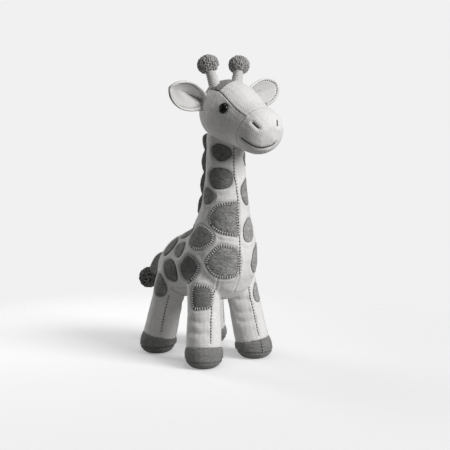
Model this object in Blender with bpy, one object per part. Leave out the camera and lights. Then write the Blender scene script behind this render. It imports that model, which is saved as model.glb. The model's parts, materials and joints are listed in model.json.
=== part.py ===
"""A standing plush giraffe: sewn and stuffed cloth, with stitched-on spots, a scalloped mane,
ball-tipped horns, folding ears, plastic safety eyes and a swinging tail with a pompom.

The toy faces -Y and stands on Z = 0, and its own right-hand side is -X. Each stuffed piece is a
solid that stands for its cloth cover and the stuffing in it.
"""

import math

import bmesh
import bpy
from mathutils import Vector
from mathutils.bvhtree import BVHTree

MM = 0.001

# Clearances
GAP = 0.35 * MM  # between pieces that touch in the sewn toy
OVERRUN = 8 * MM  # how far a cutter runs past what it cuts

# Stance
FRONT_FEET = -46.5 * MM  # centres of the front feet along Y
REAR_FEET = 44 * MM
FRONT_STANCE = 73.5 * MM  # between the centres of the right and the left foot
REAR_STANCE = 78.5 * MM
HIP_LENGTH = 60 * MM  # between a front and a rear leg where they enter the torso
HIP_WIDTH = 49 * MM
HIP_HEIGHT = 98.4 * MM

# Legs, hooves and soles
LEG_TOP = 110 * MM
LEG_WIDTH = 38.6 * MM
HOOF_WIDTH = 41.4 * MM
HOOF_HEIGHT = 21 * MM
SOLE_HEIGHT = 8.6 * MM
SOLE_FLAT_WIDTH = 21 * MM
# Height above the hoof seam and width, as shares of the leg above the seam and of its width
LEG_RING_SHARES = (
    (0.00, 1.00), (0.14, 1.00), (0.27, 0.98), (0.41, 0.945), (0.54, 0.94),
    (0.67, 0.97), (0.80, 0.98), (0.90, 0.86), (0.97, 0.55),
)
# Height and width from the floor to the sole seam
SOLE_RING_SHARES = ((0.0, 0.0), (0.09, 0.36), (0.35, 0.72), (0.68, 0.91), (1.0, 1.0))
# Height and bulge from the sole seam to the hoof seam
HOOF_RING_SHARES = ((0.0, 0.955), (0.30, 1.0), (0.65, 0.995), (1.0, 0.955))

# Torso
BELLY_HEIGHT = 66.3 * MM
TORSO_LENGTH = 138.5 * MM  # rump to chest
TORSO_HEIGHT = 84.7 * MM  # belly to the middle of the back
TORSO_WIDTH = 88 * MM
TORSO_REAR = 64.5 * MM  # rump, behind the middle of the feet
TORSO_SQUARENESS = 2.1
TORSO_GUIDE_SHARE = 0.75  # how much of the body's skin the legs are cut by
# Rings from rump to chest: back place and height, belly place and height, width, and how square
# the back is. Places are shares of the torso's length from the rump, heights are shares of its
# height above the belly.
TORSO_RING_SHARES = (
    (0.000, 0.315, 0.000, 0.315, 0.000, 2.1),
    (0.007, 0.433, 0.007, 0.209, 0.341, 2.1),
    (0.032, 0.557, 0.032, 0.126, 0.568, 2.1),
    (0.076, 0.675, 0.083, 0.061, 0.739, 2.1),
    (0.137, 0.787, 0.159, 0.022, 0.841, 2.1),
    (0.209, 0.876, 0.256, 0.000, 0.932, 1.95),
    (0.282, 0.935, 0.379, 0.000, 0.977, 1.65),
    (0.365, 0.998, 0.516, 0.006, 1.000, 1.45),
    (0.426, 1.071, 0.675, 0.032, 0.977, 1.45),
    (0.474, 1.157, 0.827, 0.097, 0.943, 1.55),
    (0.509, 1.248, 0.942, 0.256, 0.875, 1.75),
    (0.534, 1.333, 1.000, 0.551, 0.761, 1.95),
)

# Neck
NECK_SETBACK = 32.2 * MM  # axis of the neck's base, behind the chest
NECK_BASE_AXIS = TORSO_LENGTH - TORSO_REAR - NECK_SETBACK
NECK_LEAN = 3.3 * MM
NECK_AXIS = NECK_BASE_AXIS - NECK_LEAN  # ahead of the middle of the feet
NECK_WIDTH = 42.4 * MM
NECK_BASE_WIDTH = 57 * MM
NECK_BASE_DEPTH = 60.5 * MM
NECK_BACK_SHARE = 1.4014  # the seam's height at the back of the neck, of the torso's height
NECK_FRONT_SHARE = 0.85  # the seam's height at the chest
NECK_RISE = 70.3 * MM  # from the seam at the back to the nodding height
NECK_FLARE = 2.5  # how quickly the neck widens towards its base
NECK_STEP_SHARES = (0.0, 0.17, 0.34, 0.51, 0.68, 0.84, 1.0)
NECK_BASE_BACK = BELLY_HEIGHT + TORSO_HEIGHT * NECK_BACK_SHARE
NECK_BASE_FRONT = BELLY_HEIGHT + TORSO_HEIGHT * NECK_FRONT_SHARE
NOD_HEIGHT = NECK_BASE_BACK + NECK_RISE  # the rounded neck top turns in the head here

# Head
NOD_LIMIT = math.radians(10)
HEAD_FORWARD = 6.2 * MM  # middle of the skull, ahead of the neck's axis
HEAD_RISE = 28.5 * MM  # middle of the skull, above the nodding height
HEAD_PITCH = math.radians(24.7)  # the nose points down
HEAD_ROLL = math.radians(-3.5)  # the head leans to the toy's right
HEAD_LENGTH = 113.8 * MM
HEAD_BACK = 34.5 * MM  # back of the skull, behind its middle
HEAD_WIDTH = 65.6 * MM
HEAD_DEPTH = 68.6 * MM
HEAD_SQUARENESS = 2.1
# Rings from the back of the skull to the nose: place, width and depth as shares of the head
HEAD_RING_SHARES = (
    (0.000, 0.0, 0.0),
    (0.014, 0.30, 0.30),
    (0.057, 0.58, 0.585),
    (0.145, 0.84, 0.845),
    (0.235, 0.96, 0.965),
    (0.345, 1.0, 1.0),
    (0.460, 0.955, 0.965),
    (0.560, 0.895, 0.875),
    (0.660, 0.84, 0.785),
    (0.762, 0.82, 0.75),
    (0.850, 0.77, 0.70),
    (0.915, 0.655, 0.585),
    (0.970, 0.42, 0.375),
    (1.000, 0.0, 0.0),
)
MUZZLE_SEAM_ROW = 9  # the ring where the muzzle is sewn on

# Eyes, with a shank through the cloth and a locking washer behind it
EYE_FORWARD = 23.5 * MM
EYE_ROUND_SHARE = 0.315  # round the head from its underside
EYE_WIDTH = 12 * MM
EYE_DOME = 5.2 * MM
EYE_RIM = 0.6 * MM
EYE_RIM_SHARE = 0.95
EYE_STEPS = 5
EYE_SEAT_DEPTH = 1.0 * MM
SHANK_WIDTH = 3.6 * MM
SHANK_LENGTH = 11 * MM
SHANK_RIDGE = 0.25 * MM
SHANK_RIDGES = 4
SHANK_RIDGE_SHARE = 0.7  # first ridge, as a share of the ridges' spacing
WASHER_WIDTH = 11.5 * MM
WASHER_THICKNESS = 1.6 * MM
WASHER_DEPTH = 6.5 * MM  # below the skin

# Ears
EAR_HINGE_BACK = 12 * MM  # behind the middle of the skull
EAR_HINGE_ROUND_SHARE = 0.28
EAR_HINGE_CLEARANCE = 2.4 * MM  # hinge point outside the skin
EAR_ROOT_WIDTH = 9.4 * MM
EAR_LENGTH = 55.5 * MM
EAR_WIDTH = 31.5 * MM
EAR_THICKNESS = 4.6 * MM
EAR_RISES = {"left": math.radians(24), "right": math.radians(21)}
EAR_FORWARDS = {"left": math.radians(-6), "right": math.radians(9)}
# Place along the ear, half width, thickness, and how deeply the rims fold forward
EAR_RING_SHARES = (
    (0.13, 0.56, 1.25, 0.42),
    (0.22, 0.80, 1.10, 0.60),
    (0.34, 0.92, 1.00, 0.62),
    (0.48, 1.00, 0.95, 0.50),
    (0.62, 0.98, 0.90, 0.40),
    (0.76, 0.86, 0.85, 0.31),
    (0.88, 0.64, 0.80, 0.24),
    (0.96, 0.37, 0.70, 0.18),
)
EAR_TIP_SHARE = 0.4  # last ring, as a share of the rings' spacing before the tip
EAR_LINING_THICKNESS = 1.0 * MM
# Outline of the lining on the ear's front face: place along the ear, place round it
EAR_LINING_SHARES = (
    (0.30, 0.25), (0.36, 0.36), (0.55, 0.405), (0.75, 0.39), (0.885, 0.33),
    (0.93, 0.25), (0.885, 0.17), (0.75, 0.11), (0.55, 0.095), (0.36, 0.14),
)

# Horns
HORN_BACK = 15 * MM  # behind the middle of the skull
HORN_ROUND_SHARE = 0.41
HORN_SPLAYS = {"left": math.radians(18), "right": math.radians(12.5)}
HORN_RAKE = math.radians(35)
STALK_WIDTH = 12.8 * MM
STALK_NECK_WIDTH = 10.6 * MM
STALK_LENGTH = 16 * MM
STALK_WAIST_SHARE = 0.7  # how much of its taper a stalk has halfway up
HORN_BALL_WIDTH = 23.4 * MM
HORN_BALL_HEIGHT = 20.2 * MM
HORN_BALL_SOCKET = 3.5 * MM
BALL_BOBBLE = 0.5 * MM
BALL_BOBBLES = 7

# Crown patch: front edge between the horns, running back to the nape
CROWN_PATCH_SHARES = (
    (0.355, 0.53), (0.37, 0.57), (0.383, 0.612), (0.34, 0.63), (0.27, 0.637), (0.20, 0.63),
    (0.13, 0.63), (0.075, 0.61), (0.05, 0.52), (0.075, 0.43), (0.13, 0.445), (0.20, 0.457),
    (0.26, 0.46), (0.31, 0.475), (0.34, 0.50),
)
PATCH_THICKNESS = 1.1 * MM
PATCH_LOFT = 0.55 * MM  # the patch's underside, above the skin

# Mane
MANE_THICKNESS = 9.5 * MM
MANE_DROP = 21.7 * MM  # below the seam at the back of the neck
MANE_RISE = 5 * MM  # above the nodding height
MANE_PITCH = 26 * MM  # height of one lobe
MANE_STAND = 12 * MM  # how far it stands out behind the neck between two lobes
MANE_SCALLOP = 6.7 * MM  # how far a lobe stands out past that
MANE_FLARE = 9 * MM  # how much further the lowest lobe stands out
MANE_LOBE_POWER = 0.7  # roundness of a lobe's outline
MANE_FLARE_POWER = 3
MANE_SQUARENESS = 3.2
MANE_END_ROUNDING = 5 * MM
MANE_END_SHARE = 0.15  # first ring, as a share of a step from the mane's end
MANE_STEPS = 26
MANE_BOTTOM = NECK_BASE_BACK - MANE_DROP
MANE_TOP = NOD_HEIGHT + MANE_RISE

# Tail
TAIL_WIDTH = 8.2 * MM
TAIL_ROOT_SHARE = 0.17  # place along the back
TAIL_ROOT_CLEARANCE = 2.0 * MM
TAIL_REACH = 36 * MM  # how far the pompom's middle is behind the tail's root
TAIL_DROP = 43 * MM
TAIL_LEAN = 20 * MM  # the tail hangs to the toy's right
TAIL_ENTRY = math.radians(52)  # how far to the front the tail meets the pompom
TAIL_BEND_SHARE = 0.4  # how softly it bends, of its reach and its drop
POMPOM_WIDTH = 25 * MM
POMPOM_BOBBLES = 8

# Fineness of the surfaces
CLOTH_SEGMENTS = 28
HEAD_SEGMENTS = 28
LEG_SEGMENTS = 22
SMALL_SEGMENTS = 16
EAR_SEGMENTS = 16
BALL_SEGMENTS = 18
BALL_RINGS = 10
TORSO_STEPS = 16
NECK_STEPS = 8
DOME_STEPS = 4
SOCKET_STEPS = 6
TAIL_STEPS = 9
SKIN_STEPS = 48
NEAR_STEP = 0.004  # between the places that give a skin's slope
SHIFT_STEP = 0.01
SPOT_SEGMENTS = 18
EAR_LINING_SEGMENTS = 20
EAR_LINING_ROWS = 3
CROWN_PATCH_SEGMENTS = 26
CROWN_PATCH_ROWS = 5
GUIDE_SEGMENTS = 20
GUIDE_RINGS = 12
SEARCH_STEPS = 30
SPOT_REACH = 8 * MM  # how far a spot is pushed out over the skins beside its own

# Spots: the skin each lies on, how many rows of facets it has, and its outline as places along
# and round that skin
SPOTS = {
    "spot_neck_top": ("body", 2, (
        (0.955, -0.17), (0.95, -0.065), (0.935, -0.06), (0.912, -0.14), (0.922, -0.21), (0.942, -0.235),
    )),
    "spot_neck_middle": ("body", 2, (
        (0.84, -0.265), (0.875, -0.22), (0.89, -0.135), (0.885, -0.065), (0.865, -0.045),
        (0.84, -0.065), (0.82, -0.14), (0.81, -0.22),
    )),
    "spot_neck_low": ("body", 3, (
        (0.79, -0.02), (0.78, -0.11), (0.755, -0.18), (0.72, -0.22), (0.685, -0.24), (0.668, -0.22),
        (0.67, -0.16), (0.68, -0.10), (0.69, -0.035), (0.74, -0.03),
    )),
    "spot_neck_side": ("body", 1, (
        (0.79, -0.27), (0.785, -0.20), (0.765, -0.21), (0.72, -0.275), (0.725, -0.32), (0.76, -0.32),
    )),
    "spot_shoulder": ("body", 3, (
        (0.62, -0.295), (0.648, -0.24), (0.65, -0.20), (0.628, -0.195), (0.598, -0.217),
        (0.568, -0.24), (0.535, -0.28), (0.51, -0.315), (0.515, -0.345), (0.57, -0.325),
    )),
    "spot_chest": ("body", 3, (
        (0.635, -0.155), (0.65, -0.10), (0.645, -0.045), (0.60, -0.035), (0.583, -0.05),
        (0.573, -0.08), (0.562, -0.115), (0.555, -0.155), (0.56, -0.19), (0.582, -0.195),
        (0.612, -0.178),
    )),
    "spot_flank": ("body", 3, (
        (0.49, -0.283), (0.525, -0.247), (0.535, -0.21), (0.515, -0.195), (0.48, -0.183),
        (0.445, -0.178), (0.428, -0.20), (0.43, -0.235), (0.45, -0.262),
    )),
    "spot_hip": ("body", 3, (
        (0.36, -0.296), (0.395, -0.28), (0.407, -0.235), (0.39, -0.19), (0.35, -0.18),
        (0.322, -0.203), (0.31, -0.245), (0.32, -0.278),
    )),
    "spot_back_side": ("body", 2, (
        (0.41, -0.365), (0.45, -0.352), (0.46, -0.323), (0.435, -0.295), (0.407, -0.302),
        (0.383, -0.325), (0.378, -0.353),
    )),
    "spot_rump_side": ("body", 2, (
        (0.325, -0.41), (0.356, -0.37), (0.345, -0.332), (0.31, -0.31), (0.286, -0.318),
        (0.288, -0.347), (0.30, -0.385),
    )),
    "spot_back_front": ("body", 2, (
        (0.55, -0.36), (0.50, -0.37), (0.445, -0.383), (0.39, -0.388), (0.36, -0.40),
        (0.37, -0.44), (0.44, -0.43), (0.51, -0.41),
    )),
    "spot_thigh": ("rear_right", 2, (
        (0.82, -0.26), (0.787, -0.18), (0.747, -0.125), (0.705, -0.128), (0.682, -0.175),
        (0.682, -0.245), (0.72, -0.30), (0.78, -0.28),
    )),
    "spot_foreleg": ("front_right", 2, (
        (0.782, -0.215), (0.787, -0.16), (0.78, -0.08), (0.755, -0.025), (0.70, -0.02),
        (0.655, -0.045), (0.645, -0.12), (0.65, -0.21), (0.705, -0.235),
    )),
    "spot_neck_middle_left": ("body", 2, (
        (0.85, 0.06), (0.855, 0.13), (0.845, 0.20), (0.80, 0.20), (0.775, 0.14), (0.775, 0.08),
        (0.795, 0.035), (0.83, 0.02),
    )),
    "spot_chest_left": ("body", 2, (
        (0.735, 0.06), (0.725, 0.12), (0.69, 0.14), (0.668, 0.10), (0.667, 0.03), (0.68, 0.002),
        (0.715, 0.012),
    )),
    "spot_breast_left": ("body", 2, (
        (0.64, 0.08), (0.635, 0.15), (0.61, 0.20), (0.58, 0.19), (0.57, 0.12), (0.585, 0.07),
        (0.615, 0.045),
    )),
    "spot_foreleg_left": ("front_left", 2, (
        (0.765, 0.10), (0.74, 0.19), (0.67, 0.20), (0.648, 0.12), (0.652, 0.035), (0.69, 0.01),
        (0.74, 0.035),
    )),
    "spot_neck_top_left": ("body", 2, (
        (0.945, 0.13), (0.94, 0.22), (0.915, 0.28), (0.885, 0.22), (0.90, 0.12), (0.925, 0.08),
    )),
    "spot_neck_low_left": ("body", 2, (
        (0.775, 0.24), (0.76, 0.32), (0.715, 0.34), (0.70, 0.26), (0.72, 0.19), (0.755, 0.18),
    )),
    "spot_shoulder_left": ("body", 3, (
        (0.64, 0.27), (0.625, 0.33), (0.58, 0.35), (0.545, 0.325), (0.552, 0.28), (0.59, 0.255),
        (0.62, 0.25),
    )),
    "spot_flank_left": ("body", 3, (
        (0.51, 0.275), (0.47, 0.29), (0.44, 0.26), (0.44, 0.215), (0.485, 0.20), (0.52, 0.225),
    )),
    "spot_hip_left": ("body", 3, (
        (0.40, 0.28), (0.36, 0.30), (0.322, 0.27), (0.325, 0.21), (0.365, 0.185), (0.405, 0.215),
    )),
    "spot_back_left": ("body", 2, (
        (0.49, 0.33), (0.46, 0.385), (0.40, 0.395), (0.375, 0.35), (0.41, 0.315), (0.46, 0.31),
    )),
    "spot_rump_left": ("body", 2, (
        (0.345, 0.34), (0.335, 0.40), (0.295, 0.425), (0.255, 0.38), (0.27, 0.325), (0.31, 0.315),
    )),
    "spot_back_front_left": ("body", 2, (
        (0.585, 0.39), (0.55, 0.44), (0.50, 0.445), (0.495, 0.40), (0.53, 0.375), (0.565, 0.37),
    )),
    "spot_thigh_left": ("rear_left", 2, (
        (0.80, 0.26), (0.755, 0.31), (0.70, 0.29), (0.68, 0.22), (0.715, 0.15), (0.77, 0.18),
    )),
}


def clear_scene():
    for obj in list(bpy.data.objects):
        bpy.data.objects.remove(obj)


def make_material(name, colour, roughness):
    material = bpy.data.materials.new(name)
    material.use_nodes = True
    shader = material.node_tree.nodes["Principled BSDF"]
    shader.inputs["Base Color"].default_value = (*colour, 1)
    shader.inputs["Roughness"].default_value = roughness
    shader.inputs["Metallic"].default_value = 0
    material.diffuse_color = (*colour, 1)
    return material


def solid(name, shape, material, parent=None):
    """A closed mesh object from vertices and faces, with its faces turned outward."""
    vertices, faces = shape
    mesh = bpy.data.meshes.new(name)
    build = bmesh.new()
    placed = [build.verts.new(point) for point in vertices]
    for face in faces:
        build.faces.new([placed[index] for index in face])
    bmesh.ops.recalc_face_normals(build, faces=build.faces)
    build.to_mesh(mesh)
    build.free()
    mesh.shade_smooth()
    mesh.set_sharp_from_angle(angle=math.radians(40))
    mesh.materials.append(material)
    obj = bpy.data.objects.new(name, mesh)
    bpy.context.collection.objects.link(obj)
    obj.parent = parent
    return obj


def empty(name, location, parent=None):
    obj = bpy.data.objects.new(name, None)
    obj.location = location
    obj.parent = parent
    bpy.context.collection.objects.link(obj)
    return obj


def cut(obj, cutter):
    """Takes one solid away from another, and leaves the cutter as a guide."""
    cutter.hide_render = True
    cutter.display_type = "WIRE"
    modifier = obj.modifiers.new(cutter.name, "BOOLEAN")
    modifier.operation = "DIFFERENCE"
    modifier.solver = "EXACT"
    modifier.object = cutter


def aim(obj, direction):
    obj.rotation_mode = "QUATERNION"
    obj.rotation_quaternion = direction.to_track_quat("Z", "Y")


def between(first, last, share):
    return first + (last - first) * share


def spline(before, start, end, after, share):
    """A point of the smooth curve that runs from start to end."""
    bend = 2 * before - 5 * start + 4 * end - after
    twist = 3 * start - before - 3 * end + after
    return 0.5 * (2 * start + (end - before) * share + bend * share ** 2 + twist * share ** 3)


def rounded(value, squareness):
    return math.copysign(abs(value) ** (2 / squareness), value)


class Skin:
    """A surface through sections, each a centre, a vector from it to the back, a vector from it
    to the side, and how square its front and its back are. A place on it is a share along and a
    share of a turn round, from the front or the underside."""

    def __init__(self, sections):
        self.sections = sections

    def section(self, along):
        last = len(self.sections) - 1
        step = min(max(along, 0), 1) * last
        start = min(int(step), last - 1)
        near = [self.sections[min(max(start + offset, 0), last)] for offset in (-1, 0, 1, 2)]
        return [spline(*values, step - start) for values in zip(*near)]

    def point(self, along, turn):
        centre, up, side, front_squareness, back_squareness = self.section(along)
        angle = 2 * math.pi * turn
        squareness = front_squareness if math.cos(angle) > 0 else back_squareness
        height = rounded(math.cos(angle), squareness)
        width = rounded(math.sin(angle), squareness)
        return centre - up * height + side * width

    def normal(self, along, turn):
        step = NEAR_STEP
        start, end = max(along - step, step / 4), min(along + step, 1 - step / 4)
        down = self.point(end, turn) - self.point(start, turn)
        across = self.point(along, turn + step) - self.point(along, turn - step)
        normal = down.cross(across).normalized()
        outward = self.point(along, turn) - self.section(along)[0]
        return normal if normal.dot(outward) > 0 else -normal

    def ring(self, along, count, offset=0.0):
        turns = [index / count for index in range(count)]
        if offset:
            return [self.point(along, turn) + self.normal(along, turn) * offset for turn in turns]
        return [self.point(along, turn) for turn in turns]

    def shift(self, along, distance):
        """The share along that lies the given distance further on at this place."""
        step = SHIFT_STEP
        length = (self.section(along + step)[0] - self.section(along)[0]).length
        return along + step * distance / length


class EarSkin(Skin):
    """An ear: sections are a centre, half a width, half a thickness and a fold, and the rims
    fold forward."""

    def point(self, along, turn):
        centre, half_width, half_thickness, fold = self.section(along)
        angle = 2 * math.pi * turn
        across = math.cos(angle)
        slope = Vector((0, 1, 2 * fold * across)).normalized()
        forward = Vector((0, -fold * half_width * across ** 2, half_width * across))
        return centre + forward - slope * half_thickness * math.sin(angle)

    def normal(self, along, turn):
        step = NEAR_STEP
        down = self.point(along + step, turn) - self.point(along - step, turn)
        across = self.point(along, turn + step) - self.point(along, turn - step)
        normal = down.cross(across).normalized()
        fold = self.section(along)[3]
        angle = 2 * math.pi * turn
        slope = Vector((0, 1, 2 * fold * math.cos(angle))).normalized()
        outward = Vector((0, -slope.z, slope.y)) * math.cos(angle) - slope * math.sin(angle)
        return normal if normal.dot(outward) > 0 else -normal


def loft(rings, first_pole=None, last_pole=None):
    """A closed shape through rings, each end closed to a pole or to the middle of its ring."""
    vertices = [point for ring in rings for point in ring]
    count = len(rings[0])
    faces = []
    for row in range(len(rings) - 1):
        for index in range(count):
            start, end = row * count + index, row * count + (index + 1) % count
            faces.append((start, end, end + count, start + count))
    for row, pole in ((0, first_pole), (len(rings) - 1, last_pole)):
        vertices.append(pole if pole is not None else sum(rings[row], Vector()) / count)
        for index in range(count):
            start, end = row * count + index, row * count + (index + 1) % count
            faces.append((start, end, len(vertices) - 1))
    return vertices, faces


def circle(radius, height, count):
    angles = [2 * math.pi * index / count for index in range(count)]
    return [Vector((radius * math.cos(a), radius * math.sin(a), height)) for a in angles]


def turned(profile, count):
    """A solid of revolution about Z from points of radius and height, both ends on the axis."""
    rings = [circle(radius, height, count) for radius, height in profile[1:-1]]
    return loft(rings, Vector((0, 0, profile[0][1])), Vector((0, 0, profile[-1][1])))


def turned_ring(profile, count):
    """A solid of revolution about Z with a hole, from a closed profile."""
    vertices, faces = [], []
    for radius, height in profile:
        vertices += circle(radius, height, count)
    for row in range(len(profile)):
        following = (row + 1) % len(profile)
        for index in range(count):
            end = (index + 1) % count
            start, across = row * count, following * count
            faces.append((start + index, start + end, across + end, across + index))
    return vertices, faces


def bobbled_ball(radius, height, bobbles, depth, rings, count):
    """A flattened ball whose surface rises and falls like looped yarn."""
    rows = []
    for row in range(1, rings):
        polar = math.pi * row / rings
        ring = []
        for index in range(count):
            angle = 2 * math.pi * index / count
            wave = math.sin(bobbles * angle) * math.sin(bobbles * polar) * math.sin(polar)
            swell = 1 + depth * wave / radius
            ring.append(Vector((
                radius * swell * math.sin(polar) * math.cos(angle),
                radius * swell * math.sin(polar) * math.sin(angle),
                height * swell * math.cos(polar),
            )))
        rows.append(ring)
    return loft(rows, Vector((0, 0, height)), Vector((0, 0, -height)))


def guide_ball(radius):
    return bobbled_ball(radius, radius, 0, 0, GUIDE_RINGS, GUIDE_SEGMENTS)


def closed_curve(points, count):
    """Evenly shared points of a smooth closed curve through the given ones."""
    total = len(points)
    curve = []
    for index in range(count):
        step = total * index / count
        start = int(step)
        near = [Vector(points[(start + offset) % total]) for offset in (-1, 0, 1, 2)]
        curve.append(spline(*near, step - start))
    return curve


def outward_rise(skins, point, normal, reach):
    """How far the outermost of the skins stands above the point."""
    hit = skins.ray_cast(point + normal * reach, -normal, reach)
    return max(0.0, reach - hit[3]) if hit[0] is not None else 0.0


def patch(host, outline, thickness, lofted, rows, count, skins=None, reach=0.0):
    """A thin piece of cloth laid on a skin: its underside follows the skin, raised a little."""
    curve = closed_curve(outline, count)
    middle = sum(curve, Vector((0, 0))) / count
    places = [[middle]]
    for row in range(1, rows + 1):
        places.append([middle.lerp(place, row / rows) for place in curve])
    grid = []
    for ring in places:
        grid.append([(host.point(*place), host.normal(*place)) for place in ring])
    rises = [[0.0] * len(ring) for ring in grid]
    if skins:
        rises = [[outward_rise(skins, p, n, reach) for p, n in ring] for ring in grid]
    layers = []
    for level in (lofted, lofted + thickness):
        layers.append([
            [p + n * (rise + level) for (p, n), rise in zip(ring, rise_ring)]
            for ring, rise_ring in zip(grid, rises)
        ])
    vertices = [point for layer in layers for ring in layer for point in ring]
    layer_size = 1 + rows * count
    faces = []
    for base in (0, layer_size):
        for index in range(count):
            faces.append((base, base + 1 + index, base + 1 + (index + 1) % count))
        for row in range(rows - 1):
            inner, outer = base + 1 + row * count, base + 1 + (row + 1) * count
            for index in range(count):
                end = (index + 1) % count
                faces.append((inner + index, outer + index, outer + end, inner + end))
    rim = 1 + (rows - 1) * count
    for index in range(count):
        end = (index + 1) % count
        faces.append((rim + index, rim + end, layer_size + rim + end, layer_size + rim + index))
    return vertices, faces


def body_skin():
    """Torso and neck in one: from the rump forward, then up to the nodding height."""
    sections = []
    for back_place, back_height, belly_place, belly_height, width, squareness in TORSO_RING_SHARES:
        back = Vector((
            0,
            TORSO_REAR - TORSO_LENGTH * back_place,
            BELLY_HEIGHT + TORSO_HEIGHT * back_height,
        ))
        belly = Vector((
            0,
            TORSO_REAR - TORSO_LENGTH * belly_place,
            BELLY_HEIGHT + TORSO_HEIGHT * belly_height,
        ))
        side = Vector((TORSO_WIDTH / 2 * width, 0, 0))
        middle = (back + belly) / 2
        sections.append((middle, back - middle, side, TORSO_SQUARENESS, squareness))
    for share in NECK_STEP_SHARES:
        flare = (1 - share) ** NECK_FLARE
        depth = between(NECK_WIDTH, NECK_BASE_DEPTH, flare) / 2
        width = between(NECK_WIDTH, NECK_BASE_WIDTH, flare) / 2
        axis = between(NECK_AXIS, NECK_BASE_AXIS, flare)
        back = Vector((0, depth - axis, between(NECK_BASE_BACK, NOD_HEIGHT, share)))
        front = Vector((0, -depth - axis, between(NECK_BASE_FRONT, NOD_HEIGHT, share)))
        squareness = between(2, TORSO_SQUARENESS, flare)
        middle = (back + front) / 2
        side = Vector((width, 0, 0))
        sections.append((middle, back - middle, side, squareness, squareness))
    return Skin(sections)


def head_skin():
    """Skull and muzzle in one, about the middle of the skull, with the nose towards -Y."""
    sections = []
    for place, width, depth in HEAD_RING_SHARES:
        centre = Vector((0, HEAD_BACK - HEAD_LENGTH * place, 0))
        up = Vector((0, 0, HEAD_DEPTH / 2 * depth))
        side = Vector((HEAD_WIDTH / 2 * width, 0, 0))
        sections.append((centre, up, side, HEAD_SQUARENESS, HEAD_SQUARENESS))
    return Skin(sections)


def head_share(forward):
    """The share along the head's skin at a distance ahead of the middle of the skull."""
    place = (HEAD_BACK + forward) / HEAD_LENGTH
    last = len(HEAD_RING_SHARES) - 1
    for index in range(last):
        start, end = HEAD_RING_SHARES[index][0], HEAD_RING_SHARES[index + 1][0]
        if place <= end:
            return (index + (place - start) / (end - start)) / last
    return 1.0


def leg_skin(side, end):
    """One leg from the flat of its sole to its rounded top inside the torso. Side is -1 on the
    toy's right and 1 on its left, end is -1 in front and 1 behind."""
    width, place = ((FRONT_STANCE, FRONT_FEET), (REAR_STANCE, REAR_FEET))[end > 0]
    foot = Vector((side * width / 2, place, 0))
    hip = Vector((side * HIP_WIDTH / 2, end * HIP_LENGTH / 2, HIP_HEIGHT))
    lean = (hip - foot - Vector((0, 0, SOLE_HEIGHT))) / (HIP_HEIGHT - SOLE_HEIGHT)
    hoof_foot = HOOF_WIDTH * HOOF_RING_SHARES[0][1]
    rings = []
    for place, width in SOLE_RING_SHARES:
        rings.append((SOLE_HEIGHT * place, between(SOLE_FLAT_WIDTH, hoof_foot, width)))
    for place, width in HOOF_RING_SHARES[1:]:
        rings.append((between(SOLE_HEIGHT, HOOF_HEIGHT, place), HOOF_WIDTH * width))
    for place, width in LEG_RING_SHARES[1:]:
        rings.append((between(HOOF_HEIGHT, LEG_TOP, place), LEG_WIDTH * width))
    rings.append((LEG_TOP, 0.0))
    sections = []
    for height, width in rings:
        above = max(0.0, height - SOLE_HEIGHT)
        centre = foot + lean * above + Vector((0, 0, min(height, SOLE_HEIGHT)))
        turn = min(1.0, above / (HOOF_HEIGHT - SOLE_HEIGHT))
        axis = Vector((0, 0, 1)).lerp(lean, turn).normalized()
        back = Vector((0, 1, 0)) - axis * axis.y
        across = back.normalized().cross(axis)
        sections.append((centre, back.normalized() * width / 2, across * width / 2, 2.0, 2.0))
    return Skin(sections)


def horn_direction(side, splay):
    """The horn's direction in the head's own frame."""
    back = math.cos(splay) * math.sin(HORN_RAKE)
    return Vector((side * math.sin(splay), back, math.cos(splay) * math.cos(HORN_RAKE)))


def build_torso_and_neck(toy, skin, cloth):
    seam = len(TORSO_RING_SHARES) / (len(skin.sections) - 1)
    torso_steps = [seam * step / TORSO_STEPS for step in range(1, TORSO_STEPS + 1)]
    torso_rings = [skin.ring(step, CLOTH_SEGMENTS) for step in torso_steps]
    solid("torso", loft(torso_rings, skin.point(0, 0)), cloth, toy)
    neck_start = skin.shift(seam, GAP)
    neck_steps = [between(neck_start, 1, step / NECK_STEPS) for step in range(NECK_STEPS + 1)]
    neck_rings = [skin.ring(step, CLOTH_SEGMENTS) for step in neck_steps]
    middle = skin.section(1)[0]
    for step in range(1, DOME_STEPS):
        angle = math.pi / 2 * step / DOME_STEPS
        rise = Vector((0, 0, NECK_WIDTH / 2 * math.sin(angle)))
        top_ring = neck_rings[NECK_STEPS]
        neck_rings.append([middle + (p - middle) * math.cos(angle) + rise for p in top_ring])
    top = middle + Vector((0, 0, NECK_WIDTH / 2))
    solid("neck", loft(neck_rings, last_pole=top), cloth, toy)


def back_of_neck(skin, height):
    """Place of the neck's back surface at a height."""
    low, high = 0, 1
    for _ in range(SEARCH_STEPS):
        middle = (low + high) / 2
        if skin.point(middle, 0.5).z < height:
            low = middle
        else:
            high = middle
    return skin.point(low, 0.5).y


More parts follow.
